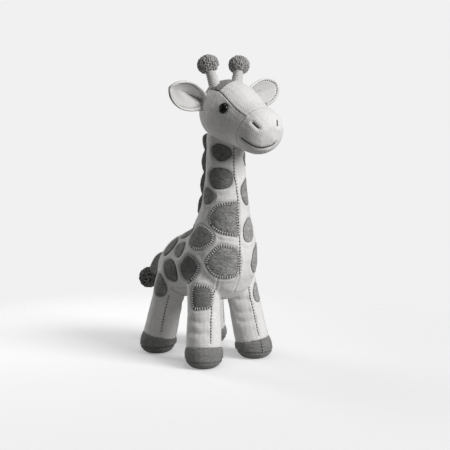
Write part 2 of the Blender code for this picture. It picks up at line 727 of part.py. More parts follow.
def build_mane(toy, skin, cloth):
    """A padded comb of lobes on the back of the neck."""
    rings = []
    spine = NECK_WIDTH / 2 - NECK_AXIS
    height_span = MANE_TOP - MANE_BOTTOM
    for step in range(MANE_STEPS + 1):
        share = (step + MANE_END_SHARE) / (MANE_STEPS + MANE_END_SHARE * 2)
        height = between(MANE_BOTTOM, MANE_TOP, share)
        inner = back_of_neck(skin, height) + GAP * 2
        wave = abs(math.sin(math.pi * (height - MANE_BOTTOM) / MANE_PITCH)) ** MANE_LOBE_POWER
        stand = MANE_STAND + MANE_FLARE * (1 - share) ** MANE_FLARE_POWER
        outer = spine + stand + MANE_SCALLOP * wave
        middle = Vector((0, (inner + outer) / 2, height))
        ends = min(share * height_span, (1 - share) * height_span) / MANE_END_ROUNDING
        taper = math.sqrt(1 - (1 - min(1.0, ends)) ** 2)
        depth = max(outer - inner, MANE_THICKNESS / 2) / 2 * taper
        up = Vector((0, depth, 0))
        side = Vector((MANE_THICKNESS / 2 * taper, 0, 0))
        if outer - inner < MANE_THICKNESS / 2:
            middle.y = inner + MANE_THICKNESS / 4
        middle.y += (1 - taper) * (inner + depth / taper - middle.y)
        section = (middle, up, side, MANE_SQUARENESS, MANE_SQUARENESS)
        rings.append(Skin([section] * 2).ring(0, SMALL_SEGMENTS))
    solid("mane", loft(rings), cloth, toy)


def tube(path, radius, count):
    """Rings of a round tube along a path."""
    rings = []
    for index, point in enumerate(path):
        after = path[min(index + 1, len(path) - 1)]
        before = path[max(index - 1, 0)]
        along = (after - before).normalized()
        across = Vector((1, 0, 0)) - along * along.x
        across.normalize()
        rise = along.cross(across)
        ring = []
        for step in range(count):
            angle = 2 * math.pi * step / count
            ring.append(point + (across * math.cos(angle) + rise * math.sin(angle)) * radius)
        rings.append(ring)
    return rings


def tail_root(skin):
    clearance = skin.normal(TAIL_ROOT_SHARE, 0.5) * TAIL_ROOT_CLEARANCE
    return skin.point(TAIL_ROOT_SHARE, 0.5) + clearance


def build_tail(toy, skin, cloth, yarn):
    root = tail_root(skin)
    hinge = empty("tail_hinge", root, toy)
    radius = TAIL_WIDTH / 2
    pompom = Vector((-TAIL_LEAN, TAIL_REACH, -TAIL_DROP))
    entry = Vector((0, -math.sin(TAIL_ENTRY), math.cos(TAIL_ENTRY)))
    end = pompom + entry * (POMPOM_WIDTH / 2 + GAP * 2)
    start = Vector((0, TAIL_REACH * TAIL_BEND_SHARE, 0))
    bend = [Vector((0, 0, 0)), start, end + entry * TAIL_DROP * TAIL_BEND_SHARE, end]
    path = []
    for step in range(TAIL_STEPS + 1):
        share = step / TAIL_STEPS
        rest = 1 - share
        point = bend[1] * 3 * rest ** 2 * share + bend[2] * 3 * rest * share ** 2
        path.append(point + bend[3] * share ** 3)
    rings = tube(path, radius, SMALL_SEGMENTS)
    away = (path[1] - path[0]).normalized()
    dome = []
    for step in range(1, DOME_STEPS):
        angle = math.pi / 2 * step / DOME_STEPS
        drop = away * radius * math.cos(angle)
        dome.append([p * math.sin(angle) - drop for p in rings[0]])
    solid("tail", loft(dome + rings, -away * radius), cloth, hinge)
    ball = bobbled_ball(
        POMPOM_WIDTH / 2, POMPOM_WIDTH / 2, POMPOM_BOBBLES, BALL_BOBBLE, BALL_RINGS, BALL_SEGMENTS
    )
    tuft = solid("tail_pompom", ball, yarn, hinge)
    tuft.location = pompom
    dimple = solid("tail_dimple_guide", guide_ball(radius + GAP), cloth, toy)
    dimple.location = root
    cut(bpy.data.objects["torso"], dimple)


def build_legs(toy, legs, torso, cloth, dark, sole_cloth):
    """Each leg with its hoof and its sole; the torso is cut out of the leg's top."""
    guide_rings = []
    guide_steps = TORSO_STEPS * 2
    for step in range(1, guide_steps + 1):
        place = TORSO_GUIDE_SHARE * step / guide_steps
        guide_rings.append(torso.ring(place, CLOTH_SEGMENTS * 2, GAP))
    guide_pole = torso.point(0, 0) + Vector((0, GAP, 0))
    guide = solid("torso_guide", loft(guide_rings, guide_pole), cloth, toy)
    sole_row = len(SOLE_RING_SHARES) - 1
    hoof_row = sole_row + len(HOOF_RING_SHARES) - 1
    for name, skin in legs.items():
        last = len(skin.sections) - 1
        steps = [step / last for step in range(last + 1)]
        hoof_start, leg_start = steps[sole_row], steps[hoof_row]
        sole_rings = [skin.ring(step, LEG_SEGMENTS) for step in steps[:sole_row + 1]]
        solid("sole_" + name, loft(sole_rings), sole_cloth, toy)
        hoof_steps = [skin.shift(hoof_start, GAP)] + steps[sole_row + 1:hoof_row + 1]
        hoof_rings = [skin.ring(step, LEG_SEGMENTS) for step in hoof_steps]
        solid("hoof_" + name, loft(hoof_rings), dark, toy)
        leg_steps = [skin.shift(leg_start, GAP)] + steps[hoof_row + 1:last]
        leg_rings = [skin.ring(step, LEG_SEGMENTS) for step in leg_steps]
        leg = solid("leg_" + name, loft(leg_rings, skin.point(1, 0)), cloth, toy)
        cut(leg, guide)


def build_head(toy, pivot, frame, skin, cloth):
    last = len(skin.sections) - 1
    seam = MUZZLE_SEAM_ROW / last
    back = [step / 2 / last for step in range(1, MUZZLE_SEAM_ROW * 2 + 1)]
    front = [step / 2 / last for step in range(MUZZLE_SEAM_ROW * 2 + 1, last * 2)]
    rings = [skin.ring(step, HEAD_SEGMENTS) for step in back]
    head = solid("head", loft(rings, skin.point(0, 0)), cloth, frame)
    rings = [skin.ring(step, HEAD_SEGMENTS) for step in [skin.shift(seam, GAP)] + front]
    solid("muzzle", loft(rings, last_pole=skin.point(1, 0)), cloth, frame)
    radius = NECK_WIDTH / 2 + GAP
    profile = [(0, radius)]
    for step in range(1, SOCKET_STEPS + 1):
        angle = between(math.pi / 2, NOD_LIMIT, step / SOCKET_STEPS)
        profile.append((radius * math.cos(angle), radius * math.sin(angle)))
    depth = HEAD_DEPTH
    flare = radius * math.cos(NOD_LIMIT) + depth * math.tan(NOD_LIMIT)
    profile.append((flare, radius * math.sin(NOD_LIMIT) - depth))
    profile.append((0, radius * math.sin(NOD_LIMIT) - depth))
    socket = solid("nod_socket_guide", turned(profile, CLOTH_SEGMENTS), cloth, pivot)
    cut(head, socket)
    return head


def build_eyes(frame, head, skin, plastic, washer_plastic):
    along = head_share(EYE_FORWARD)
    radius, shank = EYE_WIDTH / 2, SHANK_WIDTH / 2
    base = GAP - EYE_SEAT_DEPTH
    hole = shank + SHANK_RIDGE + GAP
    slot_top = WASHER_THICKNESS / 2 + GAP - WASHER_DEPTH
    slot_bottom = -WASHER_THICKNESS / 2 - GAP - WASHER_DEPTH
    slot = WASHER_WIDTH / 2 + GAP
    end = -SHANK_LENGTH - GAP
    seat = [
        (0, OVERRUN), (radius + GAP, OVERRUN), (radius + GAP, -EYE_SEAT_DEPTH),
        (hole, -EYE_SEAT_DEPTH), (hole, slot_top), (slot, slot_top), (slot, slot_bottom),
        (hole, slot_bottom), (hole, end), (0, end),
    ]
    dome = [(0, -SHANK_LENGTH), (shank, -SHANK_LENGTH)]
    for ridge in range(SHANK_RIDGES):
        height = between(-SHANK_LENGTH, base, (ridge + SHANK_RIDGE_SHARE) / (SHANK_RIDGES + 1))
        dome.append((shank, height))
        dome.append((shank + SHANK_RIDGE, height + SHANK_RIDGE))
        dome.append((shank, height + SHANK_RIDGE * 2))
    dome += [(shank, base), (radius * EYE_RIM_SHARE, base)]
    for step in range(EYE_STEPS):
        angle = math.pi / 2 * step / EYE_STEPS
        height = EYE_RIM + (EYE_DOME - EYE_RIM) * math.sin(angle)
        dome.append((radius * math.cos(angle), base + height))
    dome.append((0, base + EYE_DOME))
    ring = [
        (hole, -WASHER_THICKNESS / 2), (WASHER_WIDTH / 2, -WASHER_THICKNESS / 2),
        (WASHER_WIDTH / 2, WASHER_THICKNESS / 2), (hole, WASHER_THICKNESS / 2),
    ]
    for name, side in SIDES.items():
        place = skin.point(along, side * EYE_ROUND_SHARE)
        normal = skin.normal(along, side * EYE_ROUND_SHARE)
        guide = solid("eye_seat_guide_" + name, turned(seat, GUIDE_SEGMENTS), plastic, frame)
        eye = solid("eye_" + name, turned(dome, SMALL_SEGMENTS), plastic, frame)
        washer_shape = turned_ring(ring, SMALL_SEGMENTS)
        washer = solid("eye_washer_" + name, washer_shape, washer_plastic, frame)
        guide.location = place
        eye.location = place
        washer.location = place - normal * WASHER_DEPTH
        for piece in (guide, eye, washer):
            aim(piece, normal)
        cut(head, guide)


def ear_skin(side):
    root = EAR_ROOT_WIDTH / 2
    sections = [(Vector((0, 0, 0)), root, root, 0.0)]
    for place, width, thickness, fold in EAR_RING_SHARES:
        centre = Vector((side * EAR_LENGTH * place, 0, 0))
        sections.append((centre, EAR_WIDTH / 2 * width, EAR_THICKNESS / 2 * thickness, fold))
    sections.append((Vector((side * EAR_LENGTH, 0, 0)), 0.0, 0.0, 0.0))
    return EarSkin(sections)


def build_ears(frame, head, skin, cloth, lining_cloth):
    along = head_share(-EAR_HINGE_BACK)
    root = EAR_ROOT_WIDTH / 2
    for name, side in SIDES.items():
        turn = side * EAR_HINGE_ROUND_SHARE
        place = skin.point(along, turn) + skin.normal(along, turn) * EAR_HINGE_CLEARANCE
        hinge = empty("ear_hinge_" + name, place, frame)
        hinge.rotation_euler = (0, -side * EAR_RISES[name], -side * EAR_FORWARDS[name])
        ear = ear_skin(side)
        last = len(ear.sections) - 1
        rings = []
        for step in range(1, DOME_STEPS):
            angle = math.pi / 2 * step / DOME_STEPS
            shift = Vector((-side * root * math.cos(angle), 0, 0))
            rings.append([p * math.sin(angle) + shift for p in ear.ring(0, EAR_SEGMENTS)])
        steps = [step / last for step in range(last)] + [(last - EAR_TIP_SHARE) / last]
        rings += [ear.ring(step, EAR_SEGMENTS) for step in steps]
        shape = loft(rings, Vector((-side * root, 0, 0)), ear.sections[-1][0])
        solid("ear_" + name, shape, cloth, hinge)
        lining = patch(
            ear, EAR_LINING_SHARES, EAR_LINING_THICKNESS, GAP,
            rows=EAR_LINING_ROWS, count=EAR_LINING_SEGMENTS,
        )
        solid("ear_lining_" + name, lining, lining_cloth, hinge)
        guide = solid("ear_dimple_guide_" + name, guide_ball(root + GAP), cloth, frame)
        guide.location = place
        cut(head, guide)


def build_horns(frame, skin, cloth, yarn, dark):
    along = head_share(-HORN_BACK)
    last = len(skin.sections) - 1
    rings = [skin.ring(step / 2 / last, HEAD_SEGMENTS * 2, GAP) for step in range(1, last * 2)]
    poles = (skin.point(0, 0) + Vector((0, GAP, 0)), skin.point(1, 0) - Vector((0, GAP, 0)))
    head_guide = solid("head_guide", loft(rings, *poles), cloth, frame)
    crown = patch(
        skin, CROWN_PATCH_SHARES, PATCH_THICKNESS, PATCH_LOFT,
        rows=CROWN_PATCH_ROWS, count=CROWN_PATCH_SEGMENTS,
    )
    crown_patch = solid("crown_patch", crown, dark, frame)
    base, top = STALK_WIDTH / 2, STALK_NECK_WIDTH / 2
    waist = between(base, top, STALK_WAIST_SHARE)
    stalk = [(0, -OVERRUN), (base, -OVERRUN), (base, 0), (waist, STALK_LENGTH / 2)]
    stalk += [(top, STALK_LENGTH), (0, STALK_LENGTH)]
    clear = [(0, -OVERRUN), (base + GAP, -OVERRUN), (base + GAP, OVERRUN), (0, OVERRUN)]
    middle = STALK_LENGTH - HORN_BALL_SOCKET + HORN_BALL_HEIGHT / 2
    socket_top = STALK_LENGTH + GAP
    socket = [(0, -OVERRUN), (top + GAP, -OVERRUN), (top + GAP, socket_top), (0, socket_top)]
    for name, side in SIDES.items():
        place = skin.point(along, side * HORN_ROUND_SHARE)
        direction = horn_direction(side, HORN_SPLAYS[name])
        ball = bobbled_ball(
            HORN_BALL_WIDTH / 2, HORN_BALL_HEIGHT / 2, BALL_BOBBLES, BALL_BOBBLE,
            BALL_RINGS, BALL_SEGMENTS,
        )
        pieces = {
            "horn_stalk_": solid("horn_stalk_" + name, turned(stalk, SMALL_SEGMENTS), cloth, frame),
            "horn_ball_": solid("horn_ball_" + name, ball, yarn, frame),
            "clear_guide": solid(
                "horn_clear_guide_" + name, turned(clear, GUIDE_SEGMENTS), cloth, frame
            ),
            "socket_guide": solid(
                "horn_socket_guide_" + name, turned(socket, GUIDE_SEGMENTS), cloth, frame
            ),
        }
        for piece in pieces.values():
            piece.location = place
            aim(piece, direction)
        pieces["horn_ball_"].location = place + direction * middle
        cut(pieces["horn_stalk_"], head_guide)
        cut(pieces["horn_ball_"], pieces["socket_guide"])
        cut(crown_patch, pieces["clear_guide"])


def surrounding_skins(skins):
    """One surface of all the given skins, to lay a patch on."""
    vertices, faces = [], []
    for skin in skins:
        rings = [skin.ring(step / SKIN_STEPS, CLOTH_SEGMENTS * 2) for step in range(1, SKIN_STEPS)]
        shape, shape_faces = loft(rings)
        faces += [tuple(index + len(vertices) for index in face) for face in shape_faces]
        vertices += shape
    return BVHTree.FromPolygons(vertices, faces)


def build_spots(toy, hosts, dark):
    skins = surrounding_skins(hosts.values())
    for name, (host, rows, outline) in SPOTS.items():
        shape = patch(
            hosts[host], outline, PATCH_THICKNESS, PATCH_LOFT,
            rows=rows, count=SPOT_SEGMENTS, skins=skins, reach=SPOT_REACH,
        )
        solid(name, shape, dark, toy)


def stand_on_origin(toy):
    """Puts the middle of the toy's outline over the origin."""
    bpy.context.view_layer.update()
    points = []
    for obj in bpy.data.objects:
        if obj.type == "MESH" and not obj.hide_render:
            points += [obj.matrix_world @ vertex.co for vertex in obj.data.vertices]
    for axis in (0, 1):
        places = [point[axis] for point in points]
        toy.location[axis] = -(min(places) + max(places)) / 2
    bpy.context.view_layer.update()


SIDES = {"left": 1, "right": -1}
BODY = body_skin()
HEAD = head_skin()
LEGS = {
    "front_right": leg_skin(-1, -1),
    "front_left": leg_skin(1, -1),
    "rear_right": leg_skin(-1, 1),
    "rear_left": leg_skin(1, 1),
}


def main():
    clear_scene()
    cloth = make_material("pale_ribbed_cloth", (0.80, 0.79, 0.77), 0.95)
    lining = make_material("pale_lining_cloth", (0.76, 0.75, 0.73), 0.95)
    dark = make_material("grey_spot_cloth", (0.20, 0.19, 0.185), 0.95)
    hoof_cloth = make_material("grey_hoof_cloth", (0.17, 0.165, 0.16), 0.95)
    yarn = make_material("dark_looped_yarn", (0.06, 0.058, 0.055), 0.98)
    mane_cloth = make_material("dark_mane_cloth", (0.07, 0.067, 0.064), 0.95)
    plastic = make_material("black_eye_plastic", (0.008, 0.008, 0.008), 0.08)
    washer = make_material("white_washer_plastic", (0.75, 0.75, 0.74), 0.45)
    toy = empty("toy", (0, 0, 0))
    pivot = empty("nod_pivot", (0, -NECK_AXIS, NOD_HEIGHT), toy)
    frame = empty("head_frame", (0, -HEAD_FORWARD, HEAD_RISE), pivot)
    frame.rotation_euler = (HEAD_PITCH, HEAD_ROLL, 0)
    build_torso_and_neck(toy, BODY, cloth)
    build_mane(toy, BODY, mane_cloth)
    build_legs(toy, LEGS, BODY, cloth, hoof_cloth, hoof_cloth)
    build_tail(toy, BODY, mane_cloth, yarn)
    head = build_head(toy, pivot, frame, HEAD, cloth)
    build_eyes(frame, head, HEAD, plastic, washer)
    build_ears(frame, head, HEAD, cloth, lining)
    build_horns(frame, HEAD, cloth, yarn, dark)
    build_spots(toy, {"body": BODY, **LEGS}, dark)
    stand_on_origin(toy)


main()
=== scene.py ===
"""The looks of a standing plush giraffe: sewn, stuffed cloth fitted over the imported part.

Points of the photograph are given in its own pixels and cast from its camera onto the cloth.
"""

import json
import math

import bmesh
import bpy
import numpy as np
from mathutils import Euler, Matrix, Vector, noise
from mathutils.bvhtree import BVHTree
from mathutils.kdtree import KDTree


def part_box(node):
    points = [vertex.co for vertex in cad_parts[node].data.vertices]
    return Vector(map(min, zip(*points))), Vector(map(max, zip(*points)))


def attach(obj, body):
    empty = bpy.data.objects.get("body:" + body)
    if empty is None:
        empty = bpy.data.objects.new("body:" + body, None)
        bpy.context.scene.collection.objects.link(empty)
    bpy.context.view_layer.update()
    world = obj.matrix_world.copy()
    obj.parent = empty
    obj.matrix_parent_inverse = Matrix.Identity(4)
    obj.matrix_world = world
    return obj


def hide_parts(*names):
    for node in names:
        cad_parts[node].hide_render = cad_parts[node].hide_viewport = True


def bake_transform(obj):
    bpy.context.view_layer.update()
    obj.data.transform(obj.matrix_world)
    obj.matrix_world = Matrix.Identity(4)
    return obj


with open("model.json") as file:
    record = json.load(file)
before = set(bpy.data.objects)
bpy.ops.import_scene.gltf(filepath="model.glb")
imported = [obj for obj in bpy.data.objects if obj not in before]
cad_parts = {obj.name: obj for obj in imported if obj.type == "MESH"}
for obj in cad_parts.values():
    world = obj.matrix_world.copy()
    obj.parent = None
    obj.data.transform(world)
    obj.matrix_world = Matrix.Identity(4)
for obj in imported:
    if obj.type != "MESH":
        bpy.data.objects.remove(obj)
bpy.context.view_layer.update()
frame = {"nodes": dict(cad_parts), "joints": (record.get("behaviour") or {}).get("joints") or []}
NODES = frame["nodes"]
JOINTS = {joint["name"]: joint for joint in frame["joints"]}

MM = 0.001
SIDES = {"left": 1, "right": -1}
CORNERS = ("front_right", "front_left", "rear_right", "rear_left")

# Camera, fitted to the photograph
PHOTO_PIXELS = 450
FOCAL_PIXELS = 792
SENSOR_WIDTH = 36
AZIMUTH = math.radians(-38)
ELEVATION = math.radians(5)
DISTANCE = 0.9
TARGET = Vector((1.8 * MM, -29.7 * MM, 155.8 * MM))
# A ray that passes the toy is tried at these shares of the distance, for its nearest place
NEAR_SHARE = 0.85
NEAR_STEP = 0.005
NEAR_STEPS = 60

# Middle plane of the body and the head's own frame
MIDDLE = sum(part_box("torso"), Vector())[0] / 2
NOD = Vector(JOINTS["head_nod"]["pos_m"])
HEAD_PLACE = NOD + Vector((0, -6.2 * MM, 28.5 * MM))
HEAD_TURN = Euler((math.radians(24.7), math.radians(-3.5), 0)).to_matrix()

# Cloth
SWELL = 0.3 * MM  # the covers stand this far outside the solids they stand for
VOXEL = 1.0 * MM
HULL_INSET = 1.0 * MM
TUCK = 1.6 * MM
PATCH_RISE = 0.55 * MM  # top of a sewn-on patch above the cloth
PATCH_SINK = 0.45 * MM
PATCH_EDGE = 0.9 * MM
PATCH_RING_SHARES = (0, 0.02, 0.045, 0.075, 0.11, 0.15, 0.2, 0.26, 0.33, 0.41, 0.5, 0.6, 0.7, 0.8, 0.9)
PATCH_UNDER_SHARES = (0.02, 0.25, 0.6)
NAP_HEIGHT = 0.22 * MM
NAP_LENGTH = 2.4 * MM
NAP_EDGE = 2 * MM
RIM_ANGLE = math.radians(40)  # a solid spot's rim is sharper than this
RIM_UPRIGHT = 0.6  # and its edges stand less upright than this
PATCH_DIP = PATCH_RISE * 0.45  # a stitched patch is drawn in at the ends of its stitches
PATCH_DIP_WIDTH = 0.8 * MM
PATCH_PUFF = PATCH_RISE * 0.5  # and puffed up beyond them
PATCH_PUFF_REACH = 2.5 * MM
# Widths of the painted shade along a patch's edge
EDGE_SHADE = 0.9 * MM
STITCHED_EDGE_SHADE = 2.2 * MM
CHIN_STRETCH = 5.5 * MM
UNDER_PATCH = 0.65 * MM  # how far the cloth is drawn in under a patch
UNDER_SEARCH = 4 * MM
UNDER_START = 0.3 * MM
UNDER_REACH = 2.5 * MM
UNDER_EDGE = 0.8 * MM
# Grooves: depth, width, and how far the cloth puffs up beside them as a share of the depth
PLAIN_GROOVE = (0.55 * MM, 0.95 * MM, 0.5)
STITCHED_GROOVE = (0.35 * MM, 0.95 * MM, 0.8)
RIM_GROOVE = (0.4 * MM, 1.4 * MM, 1.6)
CREASE_GROOVE = (0.9 * MM, 2.6 * MM, 0.6)
SOLE_GROOVE = (0.45 * MM, 0.8 * MM, 0.9)
RING_GROOVE = (0.3 * MM, 0.8 * MM, 0.35)
GUSSET_GROOVE = (0.28 * MM, 0.7 * MM, 0.8)
MOUTH_GROOVE = (0.9 * MM, 1.5 * MM, 0.4)
NOSTRIL_GROOVE = (1.1 * MM, 1.7 * MM, 0.3)
PUFF_AWAY = 2.6  # in widths of the groove
PUFF_WIDTH = 1.5
HOOF_BULGE = 0.9 * MM
HOOF_REST = 0.05 * MM  # the soles rest just above the floor
WRINKLE_HEIGHT = 0.28 * MM
WRINKLE_LENGTH = 6.5 * MM
BELLY_EDGE = 97 * MM  # height at which the chest turns into the belly
BELLY_REACH = 12 * MM
BELLY_ROUNDS = 90
CREASE_REACH = 14 * MM
SEAM_REACH = 12 * MM  # distances to the body's seams are measured up to here
HEAD_REACH = 10 * MM  # and to the head's seams up to here
RIB_WANDER = 1.2 * MM
KNIT_STITCH = 0.9 * MM
# Scales of the cloth's noise, larger for finer
WANDER_SCALE = 70
FIBRE_SCALE = 1900
YARN_SCALE = 420
MOTTLE_SCALE = 60
STROKE_SCALE = 85
STROKE_STRETCH = (1, 1, 2.6)
STROKE_TURN = (0.5, 0.4, 0.3)
BEHIND = 200 * MM  # the back seam is cast from behind and from above
ABOVE = 300 * MM
FORWARD = Vector((0, -1, 0))
DOWNWARD = Vector((0, 0, -1))
BACK_SEAM_SHARES = (0.62, 0.75, 0.87)
NAPE_BELOW = 6 * MM  # the back seam starts this far below the mane
RUMP_ABOVE = 28 * MM  # and ends this far above the lower end of the tail
EYE_MIDDLE = Vector((0, -23.5 * MM, 0))  # in the head's own frame, between the eyes
RING_FLAT = 0.2 * MM  # the muzzle's rear ring is flat to within this
RING_INSIDE = 10 * MM  # and has no points nearer to its middle than this
LUMP_HEIGHT = 0.35 * MM
LUMP_LENGTH = 17 * MM
LINE_STEP = 0.6 * MM
SPLINE_PARTS = 12
RELAX = 0.5
SPREAD = -0.52  # undoes the shrinking of a round of RELAX

TAIL_BOW = Vector((-1.5, 6.5, 2)) * MM  # the tail bows out behind the rump
TAIL_BOW_POWER = 0.8
TAIL_FIRM = 10 * MM  # how far below its top the tail is held by the rump
TAIL_LUMPS = (0.25 * MM, 5 * MM)  # heights of lumps and their lengths
MANE_LUMPS = ((0.5 * MM, 5 * MM), (0.25 * MM, 1.6 * MM))
MANE_SWELL = 0.7 * MM
MANE_LOW_SHIFT = 3 * MM  # how far back the lowest lobe of the mane lies
POMPOM_INSET = 1.8 * MM
POMPOM_LOOP = 2.5 * MM
POMPOM_LOOPS = 130

# Horns
STALK_LENGTH = 24 * MM
STALK_RADIUS = 5.3 * MM
STALK_FLARE = 1.1 * MM
STALK_FLARE_LENGTH = 16 * MM
STALK_FLARE_POWER = 1.3
STALK_RIB = 2.2 * MM
STALK_RIB_HEIGHT = 0.36 * MM
STALK_ROWS = 61
STALK_SIDES = 36
STALK_TOP = 10 * MM  # the stalk's points this near to its ball's middle are its top
STALK_INSIDE = 5.5 * MM
BALL_RADII = (10.9 * MM, 9.3 * MM)
BALL_LOOP = 1.3 * MM
BALL_LOOPS = 200

# Eyes: radii and heights of the rim's profile, in millimetres
EYE_RIM = ((0.2, 0.2), (5.85, 0.2), (6.0, 0.45), (5.95, 0.8))
EYE_HEIGHT = 5.2
EYE_TIP_RADIUS = 0.02
EYE_STEPS = 10
EYE_SIDES = 40

# Thread
STITCH_PITCH = 3.5 * MM
THREAD_RADIUS = 0.36 * MM
HOLE_LENGTH = 1.0 * MM  # the dark holes of a sewn seam, with a pale stitch between each two
HOLE_RADIUS = 0.8 * MM
HOLE_LIFT = 0.25 * MM
SEAM_STITCH_GAP = 0.25 * MM
SEAM_STITCH_RADIUS = 0.7 * MM
STITCHED_RIM_SHADE = 0.45  # the shade round a stitched patch is wider than round a plain one
TOOTH_PITCH = 2.8 * MM
TOOTH_OUTSIDE = 0.8 * MM
TOOTH_INSIDE = 2.5 * MM
TOOTH_RADIUS = 0.5 * MM
TOOTH_LIFT = 0.5 * MM
PUCKER = 0.4 * MM
GUSSET_PITCH = 2.3 * MM
GUSSET_STITCH = 1.5 * MM
MOUTH_PITCH = 2.6 * MM
MOUTH_STITCH = 2.4 * MM
MOUTH_RADIUS = 0.55 * MM
NOSTRIL_SINK = 0.3  # a share of the thread's radius
THREAD_END = 0.55  # a share of the thread's radius
SEARCH_HEIGHT = 4 * MM  # stitches lie on the outermost cloth within this distance
PUCKER_REACH = 5 * MM
PUCKER_AWAY = 1.3 * MM
PUCKER_WIDTH = 1.0 * MM
# Shares of a stitch's length, and its height there as a share of its lift
STITCH_RISES = ((0, -1.0), (0.12, 0.4), (0.5, 1), (0.88, 0.4), (1, -1.0))
EAR_STITCH_RISES = ((0, -1.2), (0.12, 0.4), (0.5, 0.9), (0.88, 0.4), (1, -1.2))
LOOP_POINTS = 9
LOOP_TILTS = (0.5, 1.0)
LOOP_SIZES = (0.85, 1.15)
LOOP_LEAN = 0.6

# Ears: distances along the ear from its hinge and half widths, in millimetres
EAR_OUTLINE = (
    (-6, 6), (-2, 8.4), (2, 10), (7, 11.8), (12, 13.6), (19, 15), (27, 15.75), (34, 15.4),
    (42, 13.4), (49, 9.8), (53, 5.9), (55, 2.6), (55.5, 0),
)
EAR_SEAM = (
    (-4.5, 0), (0, 4), (4, 6.6), (9, 8.9), (15, 10.9), (22, 12.3), (28, 12.9), (34, 12.5), (40, 11),
    (45, 8.7), (49, 5.8), (51.5, 3), (52.3, 0),
)
# Place along the ear, how far its rims fold forward there, and the depth of the crease between
EAR_FOLDS = (
    (-6, 4.5, 7.5), (6, 4.5, 7.5), (12, 4.4, 6.8), (19, 4.4, 4.9), (27, 4.4, 2.6), (34, 4.0, 0.9),
    (42, 3.0, 0), (49, 2.0, 0), (55, 1.2, 0),
)
EAR_FOLD_POWER = 1.7
EAR_CREASE_WIDTH = 2.9 * MM
EAR_CREASE_PLACE = 1.6 * MM
EAR_HOLLOWS = ((-4.5, 1.5), (6, 2.0), (16, 2.0), (28, 1.8), (40, 1.2), (52, 0.6))
EAR_TWISTS = {"left": math.radians(-30), "right": 0}
EAR_DROOPS = {"left": math.radians(-5), "right": 0}
EAR_SHORTENED = {"left": 0.89, "right": 1}
EAR_MIDDLE = 21 * MM
EAR_ROLL = 2.1 * MM
EAR_SEAM_HEIGHT = 0.3 * MM
EAR_LINING_PUFF = 0.6 * MM
EAR_LINING_RISE = 0.12 * MM
EAR_RIPPLE = 0.5 * MM
EAR_RIPPLE_LENGTH = 11 * MM
# Painted shade along the outer edge of the ear's lower half: the width of its fade across the ear, its share of
# the distance to the rim, and the reach added on the upper half
EAR_SHADE_EDGE_FADE = 9 * MM
EAR_SHADE_EDGE_SHARE = 0.3
EAR_SHADE_EDGE_REACH = 2 * MM
EAR_BACK_PUFF = 1.0 * MM
EAR_BACK_REACH = 7 * MM
EAR_LINING_EDGE = 0.7 * MM
EAR_HOLLOW_EDGE = 3.5 * MM
EAR_RING_POWER = 1.6
EAR_RINGS = 26
LINING_RINGS = 14
EAR_STITCH_START = -2 * MM
EAR_STITCH_PITCH = 3.2 * MM
EAR_STITCH_LENGTH = 1.3 * MM
EAR_THREAD_RADIUS = 0.62 * MM

# Lines of the photograph, in its pixels
FRONT_SEAM = (
    (233.6, 149), (234, 171), (236, 186), (238, 203), (239, 232), (240, 252), (239.5, 276),
)
LOW_FRONT_SEAM = ((239.5, 276), (236.7, 285), (233.5, 292))
BELLY_SEAM = ((218, 277), (217, 282), (215.6, 289))
FORELEG_SEAM = ((215.6, 289), (213, 296), (211.5, 309), (211, 327.5), (210.8, 344))
FAR_FORELEG_SEAM = (
    (248.8, 287), (249.9, 295.8), (252.2, 305), (254.3, 314.2), (256.3, 323.3), (258, 331.7), (259.4, 336),
)
HOOF_SEAM = ((261, 341), (262.3, 347), (263, 353))
REAR_LEG_SEAM = ((168.8, 296), (165.6, 308.8), (163.1, 321), (160.6, 333.8))
REAR_DARTS = (((170, 288), (178, 288), (185.5, 287.5)), ((171, 289), (178, 292.5), (186, 297)))
CREASES = (
    ((192, 321), (200, 323), (208, 322)),
    ((190, 332), (199, 334), (207, 333)),
    ((234, 298), (240, 300), (247, 299)),
    ((236, 311), (242, 313), (249, 311)),
    ((239, 321), (246, 322), (255, 319)),
    ((170, 305), (177, 307), (183, 304)),
)
GUSSET_SEAM = (
    (210.5, 88.8), (215.9, 90.5), (219.5, 91.4), (228.4, 100.4), (236.4, 109.3), (245.8, 116.4),
)
MOUTH = (
    (241.3, 137.9), (247.1, 142.3), (256.1, 147.2), (261.4, 148.1), (268.6, 146.8), (272.6, 145.2),
    (275.2, 142.6),
)
NEAR_NOSTRIL = ((252.6, 122.6), (258.9, 128.2))
FAR_NOSTRIL = ((277.4, 119.8), (277.7, 126.0))


def camera_axes():
    back = Vector((
        math.sin(AZIMUTH) * math.cos(ELEVATION),
        -math.cos(AZIMUTH) * math.cos(ELEVATION),
        math.sin(ELEVATION),
    ))
    right = Vector((0, 0, 1)).cross(back).normalized()
    return right, back.cross(right), back


RIGHT, UP, BACK = camera_axes()
CAMERA_PLACE = TARGET + BACK * DISTANCE


def make_camera():
    data = bpy.data.cameras.new("camera")
    data.sensor_width = SENSOR_WIDTH
    data.lens = SENSOR_WIDTH * FOCAL_PIXELS / PHOTO_PIXELS
    data.clip_start = DISTANCE / 100
    data.clip_end = DISTANCE * 100
    camera = bpy.data.objects.new("camera", data)
    turn = Matrix((RIGHT, UP, BACK)).transposed().to_4x4()
    camera.matrix_world = Matrix.Translation(CAMERA_PLACE) @ turn
    bpy.context.scene.collection.objects.link(camera)
    bpy.context.scene.camera = camera


def seen_at(tree, pixel):
    """The place on a surface that the photograph shows at a pixel."""
    across = (pixel[0] - PHOTO_PIXELS / 2) / FOCAL_PIXELS
    down = (pixel[1] - PHOTO_PIXELS / 2) / FOCAL_PIXELS
    ray = (RIGHT * across - UP * down - BACK).normalized()
    place = tree.ray_cast(CAMERA_PLACE, ray)[0]
    if place is None:
        shares = [NEAR_SHARE + NEAR_STEP * step for step in range(NEAR_STEPS)]
        nearby = [CAMERA_PLACE + ray * DISTANCE * share for share in shares]
        place = min((tree.find_nearest(point) for point in nearby), key=lambda hit: hit[3])[0]
    return place


def mirrored(point):
    return Vector((2 * MIDDLE - point.x, point.y, point.z))


